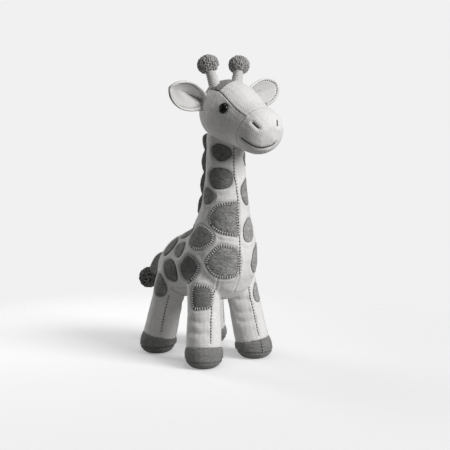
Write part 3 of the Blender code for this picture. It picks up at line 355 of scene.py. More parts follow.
def mirrored_lines(tree, lines):
    """The lines on the other side of the body."""
    return [laid(tree, [mirrored(point) for point in line]) for line in lines]


def head_mirrored(point):
    local = HEAD_TURN.transposed() @ (point - HEAD_PLACE)
    local.x = -local.x
    return HEAD_PLACE + HEAD_TURN @ local


# Meshes

def node_mesh(name):
    """A CAD node's mesh with its split corners joined again."""
    shape = bmesh.new()
    shape.from_mesh(NODES[name].data)
    bmesh.ops.remove_doubles(shape, verts=shape.verts, dist=0.001 * MM)
    bmesh.ops.recalc_face_normals(shape, faces=shape.faces)
    return shape


def node_points(name):
    return [vertex.co.copy() for vertex in NODES[name].data.vertices]


def add_object(name, mesh, material):
    mesh.shade_smooth()
    if material:
        mesh.materials.clear()
        mesh.materials.append(material)
    obj = bpy.data.objects.new(name, mesh)
    bpy.context.scene.collection.objects.link(obj)
    return obj


def mesh_from(vertices, faces):
    mesh = bpy.data.meshes.new("shape")
    mesh.from_pydata([tuple(v) for v in vertices], [], faces)
    mesh.update()
    return mesh


def circle(middle, across, upward, radius, count):
    """Points evenly round a circle."""
    angles = [2 * math.pi * index / count for index in range(count)]
    return [middle + (across * math.cos(angle) + upward * math.sin(angle)) * radius for angle in angles]


def tube_faces(rows, count, first=0, closed=False, flip=False):
    """Faces between rows of points that go round; closed joins the last row to the first."""
    faces = []
    for row in range(rows if closed else rows - 1):
        here, there = first + row * count, first + (row + 1) % rows * count
        for index in range(count):
            end = (index + 1) % count
            face = (here + index, here + end, there + end, there + index)
            faces.append(face[::-1] if flip else face)
    return faces


def end_faces(rows, count, first=0, flip=False):
    """The two flat ends of a tube."""
    last = first + (rows - 1) * count
    ends = [tuple(range(first, first + count))[::-1], tuple(range(last, last + count))]
    return [end[::-1] for end in ends] if flip else ends


def layer_faces(count, rings):
    """Faces of two layers, each of rings that close in on one point."""
    faces = []
    for first in (0, rings * count + 1):
        faces += tube_faces(rings, count, first)
        last, tip = first + (rings - 1) * count, first + rings * count
        faces += [(last + index, last + (index + 1) % count, tip) for index in range(count)]
    return faces


def evaluated(mesh, kind, **settings):
    """The mesh after one modifier."""
    obj = bpy.data.objects.new("work", mesh)
    bpy.context.scene.collection.objects.link(obj)
    modifier = obj.modifiers.new(kind, kind)
    for key, value in settings.items():
        setattr(modifier, key, value)
    graph = bpy.context.evaluated_depsgraph_get()
    result = bpy.data.meshes.new_from_object(obj.evaluated_get(graph))
    bpy.data.objects.remove(obj)
    return result


def coordinates(mesh):
    flat = np.zeros(len(mesh.vertices) * 3, np.float32)
    mesh.vertices.foreach_get("co", flat)
    return flat.reshape(-1, 3).astype(float)


def set_coordinates(mesh, points):
    mesh.vertices.foreach_set("co", points.astype(np.float32).ravel())
    mesh.update()


def normals(mesh):
    flat = np.zeros(len(mesh.vertices) * 3, np.float32)
    mesh.vertex_normals.foreach_get("vector", flat)
    return flat.reshape(-1, 3).astype(float)


def edges_of(mesh):
    flat = np.zeros(len(mesh.edges) * 2, np.int32)
    mesh.edges.foreach_get("vertices", flat)
    return flat.reshape(-1, 2)


def relax(points, edges, factor, times):
    """Moves each point towards the middle of its neighbours."""
    count = np.maximum(np.bincount(edges.ravel(), minlength=len(points)), 1)
    for _ in range(times):
        for axis in range(3):
            value = points[:, axis]
            total = np.bincount(edges[:, 0], value[edges[:, 1]], len(points))
            total += np.bincount(edges[:, 1], value[edges[:, 0]], len(points))
            points[:, axis] += factor * (total / count - value)


def soften(mesh, rounds, steady=12):
    """Smooths a mesh: plain rounds that round off its corners, then rounds that keep its size."""
    edges = edges_of(mesh)
    points = coordinates(mesh)
    relax(points, edges, RELAX, rounds)
    for _ in range(steady):
        relax(points, edges, RELAX, 1)
        relax(points, edges, SPREAD, 1)
    set_coordinates(mesh, points)


def eased(mesh, height, reach, rounds):
    """Smooths a mesh round one height."""
    points = coordinates(mesh)
    smooth = points.copy()
    relax(smooth, edges_of(mesh), RELAX, rounds)
    share = np.exp(-((points[:, 2] - height) / reach) ** 2)[:, None]
    set_coordinates(mesh, points + (smooth - points) * share)


def largest_part(mesh):
    """Deletes every loose part of a mesh but the largest."""
    shape = bmesh.new()
    shape.from_mesh(mesh)
    left, parts = set(shape.verts), []
    while left:
        part, todo = [], [left.pop()]
        while todo:
            vertex = todo.pop()
            part.append(vertex)
            for edge in vertex.link_edges:
                other = edge.other_vert(vertex)
                if other in left:
                    left.remove(other)
                    todo.append(other)
        parts.append(part)
    parts.sort(key=len)
    for part in parts[:-1]:
        bmesh.ops.delete(shape, geom=part, context="VERTS")
    shape.to_mesh(mesh)
    shape.free()


def grown(shape, distance):
    """The shape as a mesh, with each vertex moved out by the distance."""
    for vertex in shape.verts:
        vertex.co += vertex.normal * distance
    mesh = bpy.data.meshes.new("part")
    shape.to_mesh(mesh)
    shape.free()
    return mesh


def hull_of(name):
    shape = node_mesh(name)
    hull = bmesh.ops.convex_hull(shape, input=shape.verts)["geom"]
    kept = {item for item in hull if isinstance(item, bmesh.types.BMFace)}
    bmesh.ops.delete(shape, geom=[f for f in shape.faces if f not in kept], context="FACES")
    bmesh.ops.recalc_face_normals(shape, faces=shape.faces)
    return shape


def cover(names, hulls=(), tucked=(), voxel=VOXEL, rounds=3):
    """One closed skin round several nodes. A hull fills the openings of a node, and the skin runs
    on inside the tucked ones."""
    joined = bmesh.new()
    for name in names:
        joined.from_mesh(grown(node_mesh(name), SWELL))
    for name in hulls:
        joined.from_mesh(grown(hull_of(name), -HULL_INSET))
    for name in tucked:
        joined.from_mesh(grown(node_mesh(name), -TUCK))
    mesh = bpy.data.meshes.new("joined")
    joined.to_mesh(mesh)
    mesh = evaluated(mesh, "REMESH", mode="VOXEL", voxel_size=voxel)
    largest_part(mesh)
    soften(mesh, rounds)
    return mesh


def tree_of(*meshes):
    points, faces = [], []
    for mesh in meshes:
        faces += [tuple(index + len(points) for index in face.vertices) for face in mesh.polygons]
        points += [vertex.co.copy() for vertex in mesh.vertices]
    return BVHTree.FromPolygons(points, faces)


def finder_of(points):
    finder = KDTree(len(points))
    for index, point in enumerate(points):
        finder.insert(point, index)
    finder.balance()
    return finder


def distances(mesh, lines, reach):
    """How far each vertex is from the nearest point of the lines, or reach if that is less."""
    points = np.array([tuple(point) for line in lines for point in line])
    finder = finder_of(points)
    places = coordinates(mesh)
    near = np.all((places > points.min(0) - reach) & (places < points.max(0) + reach), axis=1)
    result = np.full(len(places), reach)
    for index in np.nonzero(near)[0]:
        result[index] = min(reach, finder.find(places[index])[2])
    return result


def push(mesh, heights):
    """Moves each vertex out by its height."""
    set_coordinates(mesh, coordinates(mesh) + normals(mesh) * heights[:, None])


def lumps(mesh, height=LUMP_HEIGHT, length=LUMP_LENGTH):
    """The uneven stuffing under the cloth."""
    return np.array([height * noise.noise(vertex.co / length) for vertex in mesh.vertices])


def groove(away, depth, width, puff):
    """The height of a drawn-in seam and of the cloth that puffs up beside it."""
    beside = np.exp(-((away - PUFF_AWAY * width) / (PUFF_WIDTH * width)) ** 2)
    return -depth * np.exp(-(away / width) ** 2) + depth * puff * beside


def shade_near(mesh, name, away, width):
    """An attribute that is 1 on a line and falls to 0 beside it."""
    attribute = mesh.attributes.new(name, "FLOAT", "POINT")
    attribute.data.foreach_set("value", np.exp(-(away / width) ** 2).astype(np.float32))


# Lines on a surface

def spline(points, closed=False, step=LINE_STEP):
    """Evenly spaced points of a smooth curve through the given ones."""
    count = len(points)
    dense = []
    for index in range(count if closed else count - 1):
        if closed:
            near = [points[(index + offset) % count] for offset in (-1, 0, 1, 2)]
        else:
            near = [points[min(max(index + offset, 0), count - 1)] for offset in (-1, 0, 1, 2)]
        before, start, end, after = near
        for part in range(SPLINE_PARTS):
            t = part / SPLINE_PARTS
            bend = 2 * before - 5 * start + 4 * end - after
            twist = 3 * start - before - 3 * end + after
            dense.append(0.5 * (2 * start + (end - before) * t + bend * t ** 2 + twist * t ** 3))
    dense.append(points[0] if closed else points[-1])
    return evenly(dense, step)


def evenly(points, step):
    lengths = [0.0]
    for start, end in zip(points, points[1:]):
        lengths.append(lengths[-1] + (end - start).length)
    count = max(2, round(lengths[-1] / step) + 1)
    at = np.linspace(0, lengths[-1], count)
    columns = [np.interp(at, lengths, [point[axis] for point in points]) for axis in range(3)]
    return [Vector(values) for values in zip(*columns)]


def laid(tree, points):
    """The points moved onto the nearest place of a surface."""
    return [tree.find_nearest(point)[0] for point in points]


def photo_line(tree, pixels, closed=False):
    return laid(tree, spline([seen_at(tree, pixel) for pixel in pixels], closed))


# Thread and yarn

def thread_mesh(paths, radius, sides=6, closed=False):
    """Round threads along paths of (place, upward vector)."""
    vertices, faces = [], []
    for path in paths:
        base, last = len(vertices), len(path) - 1
        for index, (place, upward) in enumerate(path):
            if closed:
                along = path[(index + 1) % len(path)][0] - path[index - 1][0]
            else:
                along = path[min(index + 1, last)][0] - path[max(index - 1, 0)][0]
            across = along.cross(upward).normalized()
            rise = across.cross(along).normalized()
            thick = radius if closed or 0 < index < last else radius * THREAD_END
            vertices += circle(place, across, rise, thick, sides)
        faces += tube_faces(len(path), sides, base, closed)
        if not closed:
            faces += end_faces(len(path), sides, base)
    return mesh_from(vertices, faces)


def topmost(tree, point, normal):
    """The outermost place of a surface over a point on it."""
    hit = tree.ray_cast(point + normal * SEARCH_HEIGHT, -normal, 2 * SEARCH_HEIGHT)
    return hit[0] if hit[0] is not None else point


def stitch_path(trees, start, end, lift):
    """A stitch that comes out of the cloth at start and goes back in at end. The first tree gives
    its direction and the second its height."""
    normal = trees[0].find_nearest(start.lerp(end, 0.5))[1]
    path = []
    for share, rise in STITCH_RISES:
        place = topmost(trees[1], start.lerp(end, share), normal)
        path.append((place + normal * lift * rise, normal))
    return path


def sewn_seam(name, trees, lines, thread):
    """The dark holes of seams and the stitches between them, as two pieces."""
    holes, stitches = [], []
    for line in lines:
        points = evenly(line, STITCH_PITCH)
        for start, end in zip(points, points[1:]):
            along = (end - start).normalized()
            half = along * HOLE_LENGTH / 2
            holes.append(stitch_path(trees, start - half, start + half, HOLE_LIFT))
            gap = HOLE_LENGTH / 2 + SEAM_STITCH_GAP
            stitches.append(stitch_path(trees, start + along * gap, end - along * gap, SEAM_STITCH_RADIUS))
    return (
        add_object(name + "_holes", thread_mesh(holes, HOLE_RADIUS), DARK_THREAD),
        add_object(name + "_stitches", thread_mesh(stitches, SEAM_STITCH_RADIUS), thread),
    )


def running_stitches(trees, line, pitch, length, lift=THREAD_RADIUS):
    points = evenly(line, pitch)
    paths = []
    for start, end in zip(points, points[1:]):
        finish = start + (end - start).normalized() * min(length, (end - start).length)
        paths.append(stitch_path(trees, start, finish, lift))
    return paths


def teeth(trees, rim, centre):
    """Blanket stitches across the edge of a patch."""
    paths = []
    points = evenly(rim, TOOTH_PITCH)
    for before, point, after in zip(points, points[1:], points[2:]):
        normal = trees[0].find_nearest(point)[1]
        inward = normal.cross(after - before).normalized()
        if inward.dot(centre - point) < 0:
            inward = -inward
        start, end = point - inward * TOOTH_OUTSIDE, point + inward * TOOTH_INSIDE
        paths.append(stitch_path(trees, start, end, TOOTH_LIFT))
    return paths


def puckers(mesh, lines, pitch=STITCH_PITCH):
    """Small puffs of cloth on both sides of a stitched seam, between its stitches."""
    heights = np.zeros(len(mesh.vertices))
    places = coordinates(mesh)
    for line in lines:
        points = np.array([tuple(point) for point in line])
        finder = finder_of(points)
        step = (line[1] - line[0]).length
        low, high = points.min(0) - PUCKER_REACH, points.max(0) + PUCKER_REACH
        near = np.all((places > low) & (places < high), axis=1)
        for index in np.nonzero(near)[0]:
            nearest, away = finder.find(places[index])[1:]
            if away < PUCKER_REACH:
                wave = math.cos(2 * math.pi * nearest * step / pitch)
                heights[index] += PUCKER * wave * math.exp(-((away - PUCKER_AWAY) / PUCKER_WIDTH) ** 2)
    return heights


def looped_ball(name, centre, radii, axis, loop, count, material, keep_out=None, tube=0.5):
    """A ball of looped yarn: small slanting loops spread evenly over it."""
    turn = axis.to_track_quat("Z", "Y").to_matrix()
    random = np.random.default_rng(len(name))
    golden = math.pi * (3 - math.sqrt(5))
    paths = []
    for index in range(count):
        height = 1 - 2 * (index + 0.5) / count
        ring = math.sqrt(1 - height ** 2)
        angle = golden * index
        unit = Vector((ring * math.cos(angle), ring * math.sin(angle), height))
        place = centre + turn @ Vector((unit.x * radii[0], unit.y * radii[0], unit.z * radii[1]))
        normal = (turn @ Vector((unit.x / radii[0], unit.y / radii[0], unit.z / radii[1]))).normalized()
        if keep_out and keep_out(place):
            continue
        across = normal.orthogonal().normalized()
        across.rotate(Matrix.Rotation(random.uniform(0, 2 * math.pi), 3, normal))
        lean = normal.cross(across)
        tilt = random.uniform(*LOOP_TILTS)
        upright = (normal * math.sin(tilt) + lean * math.cos(tilt)).normalized()
        size = loop * random.uniform(*LOOP_SIZES)
        outside = normal.lerp(across.cross(upright), LOOP_LEAN)
        paths.append([(point, outside) for point in circle(place, across, upright, size, LOOP_POINTS)])
    return add_object(name, thread_mesh(paths, loop * tube, 6, closed=True), material)


def ball_mesh(centre, radii, axis, rings=24, count=36):
    """A smooth ball, flatter along its axis, as rings between two poles."""
    right, up, out = axis.to_track_quat("Z", "Y").to_matrix().transposed()
    vertices = []
    for row in range(1, rings):
        polar = math.pi * row / rings
        middle = centre + out * radii[1] * math.cos(polar)
        vertices += circle(middle, right, up, radii[0] * math.sin(polar), count)
    top, last = len(vertices), (rings - 2) * count
    vertices += [centre + out * radii[1], centre - out * radii[1]]
    faces = tube_faces(rings - 1, count, flip=True)
    for index in range(count):
        end = (index + 1) % count
        faces += [(top, index, end), (top + 1, last + end, last + index)]
    return mesh_from(vertices, faces)


# Materials

class Nodes:
    """A material's nodes, added one by one."""

    def __init__(self, name):
        self.material = bpy.data.materials.new(name)
        self.material.use_nodes = True
        self.tree = self.material.node_tree
        self.shader = self.tree.nodes["Principled BSDF"]

    def add(self, kind, inputs=(), **settings):
        node = self.tree.nodes.new(kind)
        for key, value in settings.items():
            setattr(node, key, value)
        for key, value in dict(inputs).items():
            if isinstance(value, bpy.types.NodeSocket):
                self.tree.links.new(value, node.inputs[key])
            else:
                node.inputs[key].default_value = value
        return node

    def math(self, operation, first, second):
        node = self.add("ShaderNodeMath", {0: first, 1: second}, operation=operation)
        return node.outputs[0]

    def total(self, values):
        result = values[0]
        for value in values[1:]:
            result = self.math("ADD", result, value)
        return result

    def noise(self, place, scale, detail):
        """Noise from about -0.5 to 0.5."""
        node = self.add("ShaderNodeTexNoise", {"Vector": place, "Scale": scale, "Detail": detail})
        return self.math("SUBTRACT", node.outputs["Fac"], 0.5)

    def set(self, **values):
        for key, value in values.items():
            socket = self.shader.inputs[key.replace("_", " ").title().replace("Ior", "IOR")]
            if isinstance(value, bpy.types.NodeSocket):
                self.tree.links.new(value, socket)
            else:
                socket.default_value = value


def grey(value, warmth=0.012):
    return (value * (1 + warmth), value, value * (1 - warmth * 1.5), 1)


def cloth(name, value, across=(0, 0, 1), rib=2.2 * MM, rib_shade=0.05, mottle=0.10, nap=0.0,
          seam_shade=0.45, sheen=0.25, depth=0.35 * MM):
    """Knitted or napped cloth. Its ribs lie across a direction; nap is how much its pile is brushed
    into lighter and darker strokes; its 'seam' attribute paints shade into grooves, seams and edges."""
    nodes = Nodes(name)
    place = nodes.add("ShaderNodeTexCoord").outputs["Object"]
    wander = nodes.add("ShaderNodeTexNoise", {"Vector": place, "Scale": WANDER_SCALE, "Detail": 1}).outputs["Fac"]
    along = nodes.add("ShaderNodeVectorMath", {0: place, 1: across}, operation="DOT_PRODUCT")
    along = nodes.math("ADD", along.outputs["Value"], nodes.math("MULTIPLY", wander, RIB_WANDER))
    ribs = nodes.math("SINE", nodes.math("MULTIPLY", along, 2 * math.pi / rib), 0.0)
    knit = nodes.add("ShaderNodeTexVoronoi", {"Vector": place, "Scale": 1 / KNIT_STITCH})
    stitches = knit.outputs["Distance"]
    fibre = nodes.noise(place, FIBRE_SCALE, 3)
    yarn = nodes.noise(place, YARN_SCALE, 2)
    wide = nodes.noise(place, MOTTLE_SCALE, 3)
    stretched = nodes.add("ShaderNodeMapping", {
        "Vector": place, "Scale": STROKE_STRETCH, "Rotation": STROKE_TURN,
    })
    strokes = nodes.add("ShaderNodeTexNoise", {
        "Vector": stretched.outputs[0], "Scale": STROKE_SCALE, "Detail": 4,
        "Roughness": 0.62, "Distortion": 1.8,
    }).outputs["Fac"]
    strokes = nodes.math("SUBTRACT", strokes, 0.5)
    shades = [
        nodes.math("MULTIPLY", ribs, rib_shade),
        nodes.math("MULTIPLY", nodes.math("SUBTRACT", stitches, 0.4), -mottle * 0.8),
        nodes.math("MULTIPLY", yarn, mottle * 1.5),
        nodes.math("MULTIPLY", wide, mottle),
        nodes.math("MULTIPLY", fibre, mottle * 1.5),
        nodes.math("MULTIPLY", strokes, nap * 3),
    ]
    level = nodes.total([*shades, 1.0])
    # Painted shade: the colour darkens where the 'seam' attribute marks grooves, seams and edges.
    seam = nodes.add("ShaderNodeAttribute", attribute_name="seam").outputs["Fac"]
    dark = nodes.math("SUBTRACT", 1.0, nodes.math("MULTIPLY", seam, seam_shade))
    bright = nodes.math("MULTIPLY", level, dark)
    colour = nodes.add("ShaderNodeVectorMath", {0: grey(value)[:3], "Scale": bright}, operation="SCALE")
    nodes.set(base_color=colour.outputs[0], roughness=0.92, specular_ior_level=0.15)
    nodes.set(sheen_weight=sheen, sheen_roughness=0.45, sheen_tint=grey(0.8))
    rise = nodes.total([
        nodes.math("MULTIPLY", ribs, rib_shade * 5),
        nodes.math("MULTIPLY", stitches, -0.35),
        nodes.math("MULTIPLY", fibre, 0.5),
        nodes.math("MULTIPLY", yarn, 0.6),
        nodes.math("MULTIPLY", strokes, nap * 5),
    ])
    bump = nodes.add("ShaderNodeBump", {"Height": rise, "Strength": 0.8, "Distance": depth})
    nodes.set(normal=bump.outputs[0])
    return nodes.material


def yarn_material(name, value, sheen=0.2):
    nodes = Nodes(name)
    place = nodes.add("ShaderNodeTexCoord").outputs["Object"]
    fibre = nodes.add("ShaderNodeTexNoise", {"Vector": place, "Scale": 2600, "Detail": 2})
    strand = nodes.add("ShaderNodeTexNoise", {"Vector": place, "Scale": 500, "Detail": 2})
    level = nodes.math("ADD", nodes.math("MULTIPLY", strand.outputs["Fac"], 0.5), 0.75)
    colour = nodes.add("ShaderNodeVectorMath", {0: grey(value)[:3], "Scale": level}, operation="SCALE")
    bump = nodes.add("ShaderNodeBump", {
        "Height": fibre.outputs["Fac"], "Strength": 0.6, "Distance": 0.2 * MM,
    })
    nodes.set(base_color=colour.outputs[0], roughness=0.9, specular_ior_level=0.2)
    nodes.set(sheen_weight=sheen, sheen_roughness=0.5, sheen_tint=grey(0.7), normal=bump.outputs[0])
    return nodes.material


def plastic_material(name, value, roughness):
    nodes = Nodes(name)
    place = nodes.add("ShaderNodeTexCoord").outputs["Object"]
    haze = nodes.add("ShaderNodeTexNoise", {"Vector": place, "Scale": 300, "Detail": 3})
    rough = nodes.math("ADD", nodes.math("MULTIPLY", haze.outputs["Fac"], 0.05), roughness)
    nodes.set(base_color=grey(value), roughness=rough, specular_ior_level=0.35)
    return nodes.material


HEAD_RIBS = (0.75, -0.6, 0.28)  # the direction across the ribs of the head's cloth
NAPPED = {"rib": 1.5 * MM, "rib_shade": 0.02, "depth": 0.6 * MM}
PALE = cloth("pale_cloth", 0.83, rib_shade=0.025, mottle=0.15, sheen=0.4)
HEAD_CLOTH = cloth("head_cloth", 0.83, across=HEAD_RIBS, rib_shade=0.02, mottle=0.15, sheen=0.4)
# The ear lining is the pale cloth made darker: painted shade in the ear's hollow.
LINING_IN_PAINTED_SHADE = cloth("ear_lining_cloth", 0.66, rib_shade=0.0)
STALK = cloth("stalk_cloth", 0.66, rib_shade=0.0, mottle=0.15, sheen=0.2)


def spot_material(name, value):
    return cloth(name, value, **NAPPED, mottle=0.22, nap=0.6, sheen=0.1, seam_shade=0.52)


# Copies of the spot cloth: the darker one is painted shade for the spots that lie in shade, the paler one painted
# light for the spots in the light.
SPOT = spot_material("spot_cloth", 0.32)
SPOT_PAINTED_SHADE = spot_material("spot_cloth_painted_shade", 0.22)
SPOT_PAINTED_LIGHT = spot_material("spot_cloth_painted_light", 0.40)
SPOTS_IN_PAINTED_SHADE = ("spot_neck_top", "spot_neck_middle", "spot_flank", "spot_foreleg", "spot_hip")
SPOTS_IN_PAINTED_LIGHT = ("spot_chest", "spot_chest_left", "spot_breast_left", "spot_foreleg_left")
HOOF = cloth("hoof_cloth", 0.25, **NAPPED, mottle=0.25, nap=0.35, sheen=0.12)
MANE = cloth("mane_cloth", 0.15, **NAPPED, mottle=0.25, nap=0.5)
TAIL = cloth("tail_cloth", 0.34, rib=2.4 * MM, rib_shade=0.12, mottle=0.25, nap=0.4, depth=0.6 * MM)
BALL_YARN = yarn_material("ball_yarn", 0.42)
POMPOM_YARN = yarn_material("pompom_yarn", 0.19)
# The pompom's core is darker than its loops: painted shade in the gaps between them.
POMPOM_SHADE_CORE = yarn_material("pompom_core_painted_shade", 0.04)
DARK_THREAD = yarn_material("dark_thread", 0.05)
PALE_THREAD = yarn_material("pale_thread", 0.75)
HOOF_THREAD = yarn_material("hoof_thread", 0.42)
FACE_THREAD = yarn_material("face_thread", 0.035)
EYE = plastic_material("eye_plastic", 0.006, 0.08)
WASHER = plastic_material("washer_plastic", 0.75, 0.4)


# Pieces

def finish_piece(obj, replaced=(), body=None):
    if replaced:
        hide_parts(*replaced)
    if body:
        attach(obj, body)
    return obj


BLEND_START = NOD + Vector((0, 0, -24 * MM))


def bend_with_head(obj):
    """Bakes the piece's placing into its mesh."""
    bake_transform(obj)


def smooth_step(share):
    share = min(1.0, max(0.0, share))
    return share * share * (3 - 2 * share)


def patch_height(away, stitched):
    """How high a patch stands at a distance from its rim, and above the rim's own place."""
    edge = min(1.0, away / PATCH_EDGE)
    height = -PATCH_SINK + (PATCH_SINK + PATCH_RISE) * math.sin(edge * math.pi / 2)
    if stitched:
        height -= PATCH_DIP * math.exp(-((away - TOOTH_INSIDE) / PATCH_DIP_WIDTH) ** 2)
        height += PATCH_PUFF * smooth_step((away - TOOTH_INSIDE) / PATCH_PUFF_REACH)
    return height


def patch_mesh(rim, tree, stitched=False):
    """A sewn-on patch: rings from its rim to its middle, laid on the cloth, closed underneath."""
    rim = rim[:-1] if (rim[0] - rim[-1]).length < 0.01 * MM else rim
    centre = tree.find_nearest(sum(rim, Vector()) / len(rim))[0]
    count = len(rim)
    vertices, edge_shade = [], []
    shade_width = STITCHED_EDGE_SHADE if stitched else EDGE_SHADE

    def ring(share, height_of):
        for point in rim:
            away = share * (point - centre).length
            place, normal = tree.find_nearest(point.lerp(centre, share))[:2]
            nap = NAP_HEIGHT * noise.noise(place / NAP_LENGTH) * smooth_step(away / NAP_EDGE)
            vertices.append(place + normal * (height_of(away) + nap))
            edge_shade.append(math.exp(-(away / shade_width) ** 2))

    for share in PATCH_RING_SHARES:
        ring(share, lambda away: patch_height(away, stitched))
    for share in PATCH_UNDER_SHARES:
        ring(share, lambda away: -PATCH_SINK)
    tops, unders = len(PATCH_RING_SHARES), len(PATCH_UNDER_SHARES)
    first_under = tops * count
    faces = tube_faces(tops, count) + tube_faces(unders, count, first_under, flip=True)
    for index in range(count):
        end = (index + 1) % count
        faces.append((end, index, first_under + index, first_under + end))
    middle, normal = tree.find_nearest(centre)[:2]
    for row, height in ((tops - 1, patch_height(10 * MM, stitched)), (tops + unders - 1, -PATCH_SINK)):
        tip = len(vertices)
        vertices.append(middle + normal * height)
        edge_shade.append(0.0)
        for index in range(count):
            face = (row * count + index, row * count + (index + 1) % count, tip)
            faces.append(face if row < tops else face[::-1])
    mesh = mesh_from(vertices, faces)
    # Painted shade along the patch's edge, kept in its 'seam' attribute.
    attribute = mesh.attributes.new("seam", "FLOAT", "POINT")
    attribute.data.foreach_set("value", np.array(edge_shade, np.float32))
    return outward(mesh)


def outward(mesh, joined=0):
    """The mesh with its faces turned outward, and with points nearer than a distance joined."""
    shape = bmesh.new()
    shape.from_mesh(mesh)
    if joined:
        bmesh.ops.remove_doubles(shape, verts=shape.verts, dist=joined)
    bmesh.ops.recalc_face_normals(shape, faces=shape.faces)
    shape.to_mesh(mesh)
    shape.free()
    return mesh


def patch_rim(name, tree, stretch=None):
    """The patch's outline on the cloth, and its middle."""
    shape = node_mesh(name)

    def on_rim(edge):
        if edge.calc_face_angle(0) < RIM_ANGLE:
            return False
        start, end = (vertex.co for vertex in edge.verts)
        upright = tree.find_nearest((start + end) / 2)[1].dot((end - start).normalized())
        return abs(upright) < RIM_UPRIGHT

    sharp = [edge for edge in shape.edges if on_rim(edge)]
    links = {}
    for edge in sharp:
        for vertex in edge.verts:
            links.setdefault(vertex, []).append(edge.other_vert(vertex))
    loops, left = [], set(links)
    while left:
        start = min(left, key=lambda v: tuple(v.co))
        loop, here = [start], start
        left.remove(start)
        while True:
            following = [v for v in links[here] if v in left]
            if not following:
                break
            here = following[0]
            left.remove(here)
            loop.append(here)
        loops.append(loop)

    def length(loop):
        return sum((a.co - b.co).length for a, b in zip(loop, loop[1:]))

    rim = max(loops, key=length)
    points = [vertex.co.copy() for vertex in rim]
    if stretch:
        points = [stretch(point) for point in points]
    line = laid(tree, spline(points, closed=True))
    return line, sum(line, Vector()) / len(line)


make_camera()

# Body: torso, neck and legs in one cover

BODY_NODES = ["torso", "neck"] + ["leg_" + corner for corner in CORNERS]
BODY_SPOTS = sorted(name for name in NODES if name.startswith("spot_"))
body_mesh = cover(BODY_NODES, tucked=["hoof_" + corner for corner in CORNERS], rounds=5)
eased(body_mesh, BELLY_EDGE, BELLY_REACH, BELLY_ROUNDS)
push(body_mesh, lumps(body_mesh) + lumps(body_mesh, WRINKLE_HEIGHT, WRINKLE_LENGTH))
plain_body = tree_of(body_mesh)
creases = [photo_line(plain_body, pixels) for pixels in CREASES]
creases += mirrored_lines(plain_body, creases[-1:])
crease_away = distances(body_mesh, creases, CREASE_REACH)
push(body_mesh, groove(crease_away, *CREASE_GROOVE))
smooth_body = tree_of(body_mesh)

front_seam = photo_line(smooth_body, FRONT_SEAM)
belly_seam = photo_line(smooth_body, BELLY_SEAM)
leg_seams = [photo_line(smooth_body, pixels) for pixels in (FORELEG_SEAM, FAR_FORELEG_SEAM, REAR_LEG_SEAM)]
leg_seams += mirrored_lines(smooth_body, leg_seams[-1:])
darts = [photo_line(smooth_body, pixels) for pixels in REAR_DARTS]
darts += mirrored_lines(smooth_body, [*darts, belly_seam])


def back_seam():
    """The seam down the middle of the back, from the mane to the tail."""
    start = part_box("mane")[0].z
    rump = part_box("tail")[0]
    low, high = (corner.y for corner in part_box("torso"))
    rays = [(Vector((MIDDLE, BEHIND, start - NAPE_BELOW)), FORWARD)]
    for share in BACK_SEAM_SHARES:
        rays.append((Vector((MIDDLE, low + (high - low) * share, ABOVE)), DOWNWARD))
    rays.append((Vector((MIDDLE, BEHIND, rump.z + RUMP_ABOVE)), FORWARD))
    return laid(smooth_body, spline([smooth_body.ray_cast(*ray)[0] for ray in rays]))


def neck_stretch(point):
    """Lifts the upper part of the highest neck spot up under the chin."""
    low, high = (corner.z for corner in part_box("spot_neck_top"))
    share = max(0.0, (point.z - (low + high) / 2) / (high - low) * 2)
    return point + Vector((0, 0, CHIN_STRETCH * share))


def under_patches(mesh, patches, rim_away):
    """How far the cloth sinks where a patch lies on it."""
    tree = tree_of(*patches)
    near = finder_of([vertex.co for patch in patches for vertex in patch.vertices])
    heights = np.zeros(len(mesh.vertices))
    for index, vertex in enumerate(mesh.vertices):
        if near.find(vertex.co)[2] < UNDER_SEARCH:
            start = vertex.co - vertex.normal * UNDER_START
            if tree.ray_cast(start, vertex.normal, UNDER_REACH)[0] is not None:
                heights[index] = -UNDER_PATCH * smooth_step(rim_away[index] / UNDER_EDGE)
    return heights


STITCHED_SPOTS = ("spot_chest", "spot_neck_low", "spot_flank", "spot_foreleg", "spot_shoulder")
rims = {name: patch_rim(name, smooth_body) for name in BODY_SPOTS if name != "spot_neck_top"}
rims["spot_neck_top"] = patch_rim("spot_neck_top", smooth_body, neck_stretch)
spot_meshes = {}
for name in BODY_SPOTS:
    spot_meshes[name] = patch_mesh(rims[name][0], smooth_body, name in STITCHED_SPOTS)
stitched_seams = [front_seam, *leg_seams]
plain_seams = [belly_seam, *darts, back_seam(), photo_line(smooth_body, LOW_FRONT_SEAM)]
stitched_away = distances(body_mesh, stitched_seams, SEAM_REACH)
plain_away = distances(body_mesh, plain_seams, SEAM_REACH)
rim_away = distances(body_mesh, [rim for rim, middle in rims.values()], SEAM_REACH)
stitched_rim_away = distances(body_mesh, [rims[name][0] for name in STITCHED_SPOTS], SEAM_REACH)
sunk = under_patches(body_mesh, list(spot_meshes.values()), rim_away)
heights = groove(stitched_away, *STITCHED_GROOVE) + groove(plain_away, *PLAIN_GROOVE)
heights += np.where(sunk < 0, 0, puckers(body_mesh, stitched_seams))
heights = np.where(sunk < 0, np.minimum(heights, 0), heights)
heights += np.where(sunk < 0, sunk, groove(rim_away, *RIM_GROOVE))
push(body_mesh, heights)
# Painted shade in the plain seams and round the patches, wider round the stitched ones.
patch_shade_away = np.minimum(rim_away, stitched_rim_away * STITCHED_RIM_SHADE)
shade_near(body_mesh, "seam", np.minimum(plain_away * 1.3, patch_shade_away), 0.6 * MM)
body_cover = add_object("body_cover", body_mesh, PALE)
finish_piece(body_cover, BODY_NODES)
bend_with_head(body_cover)

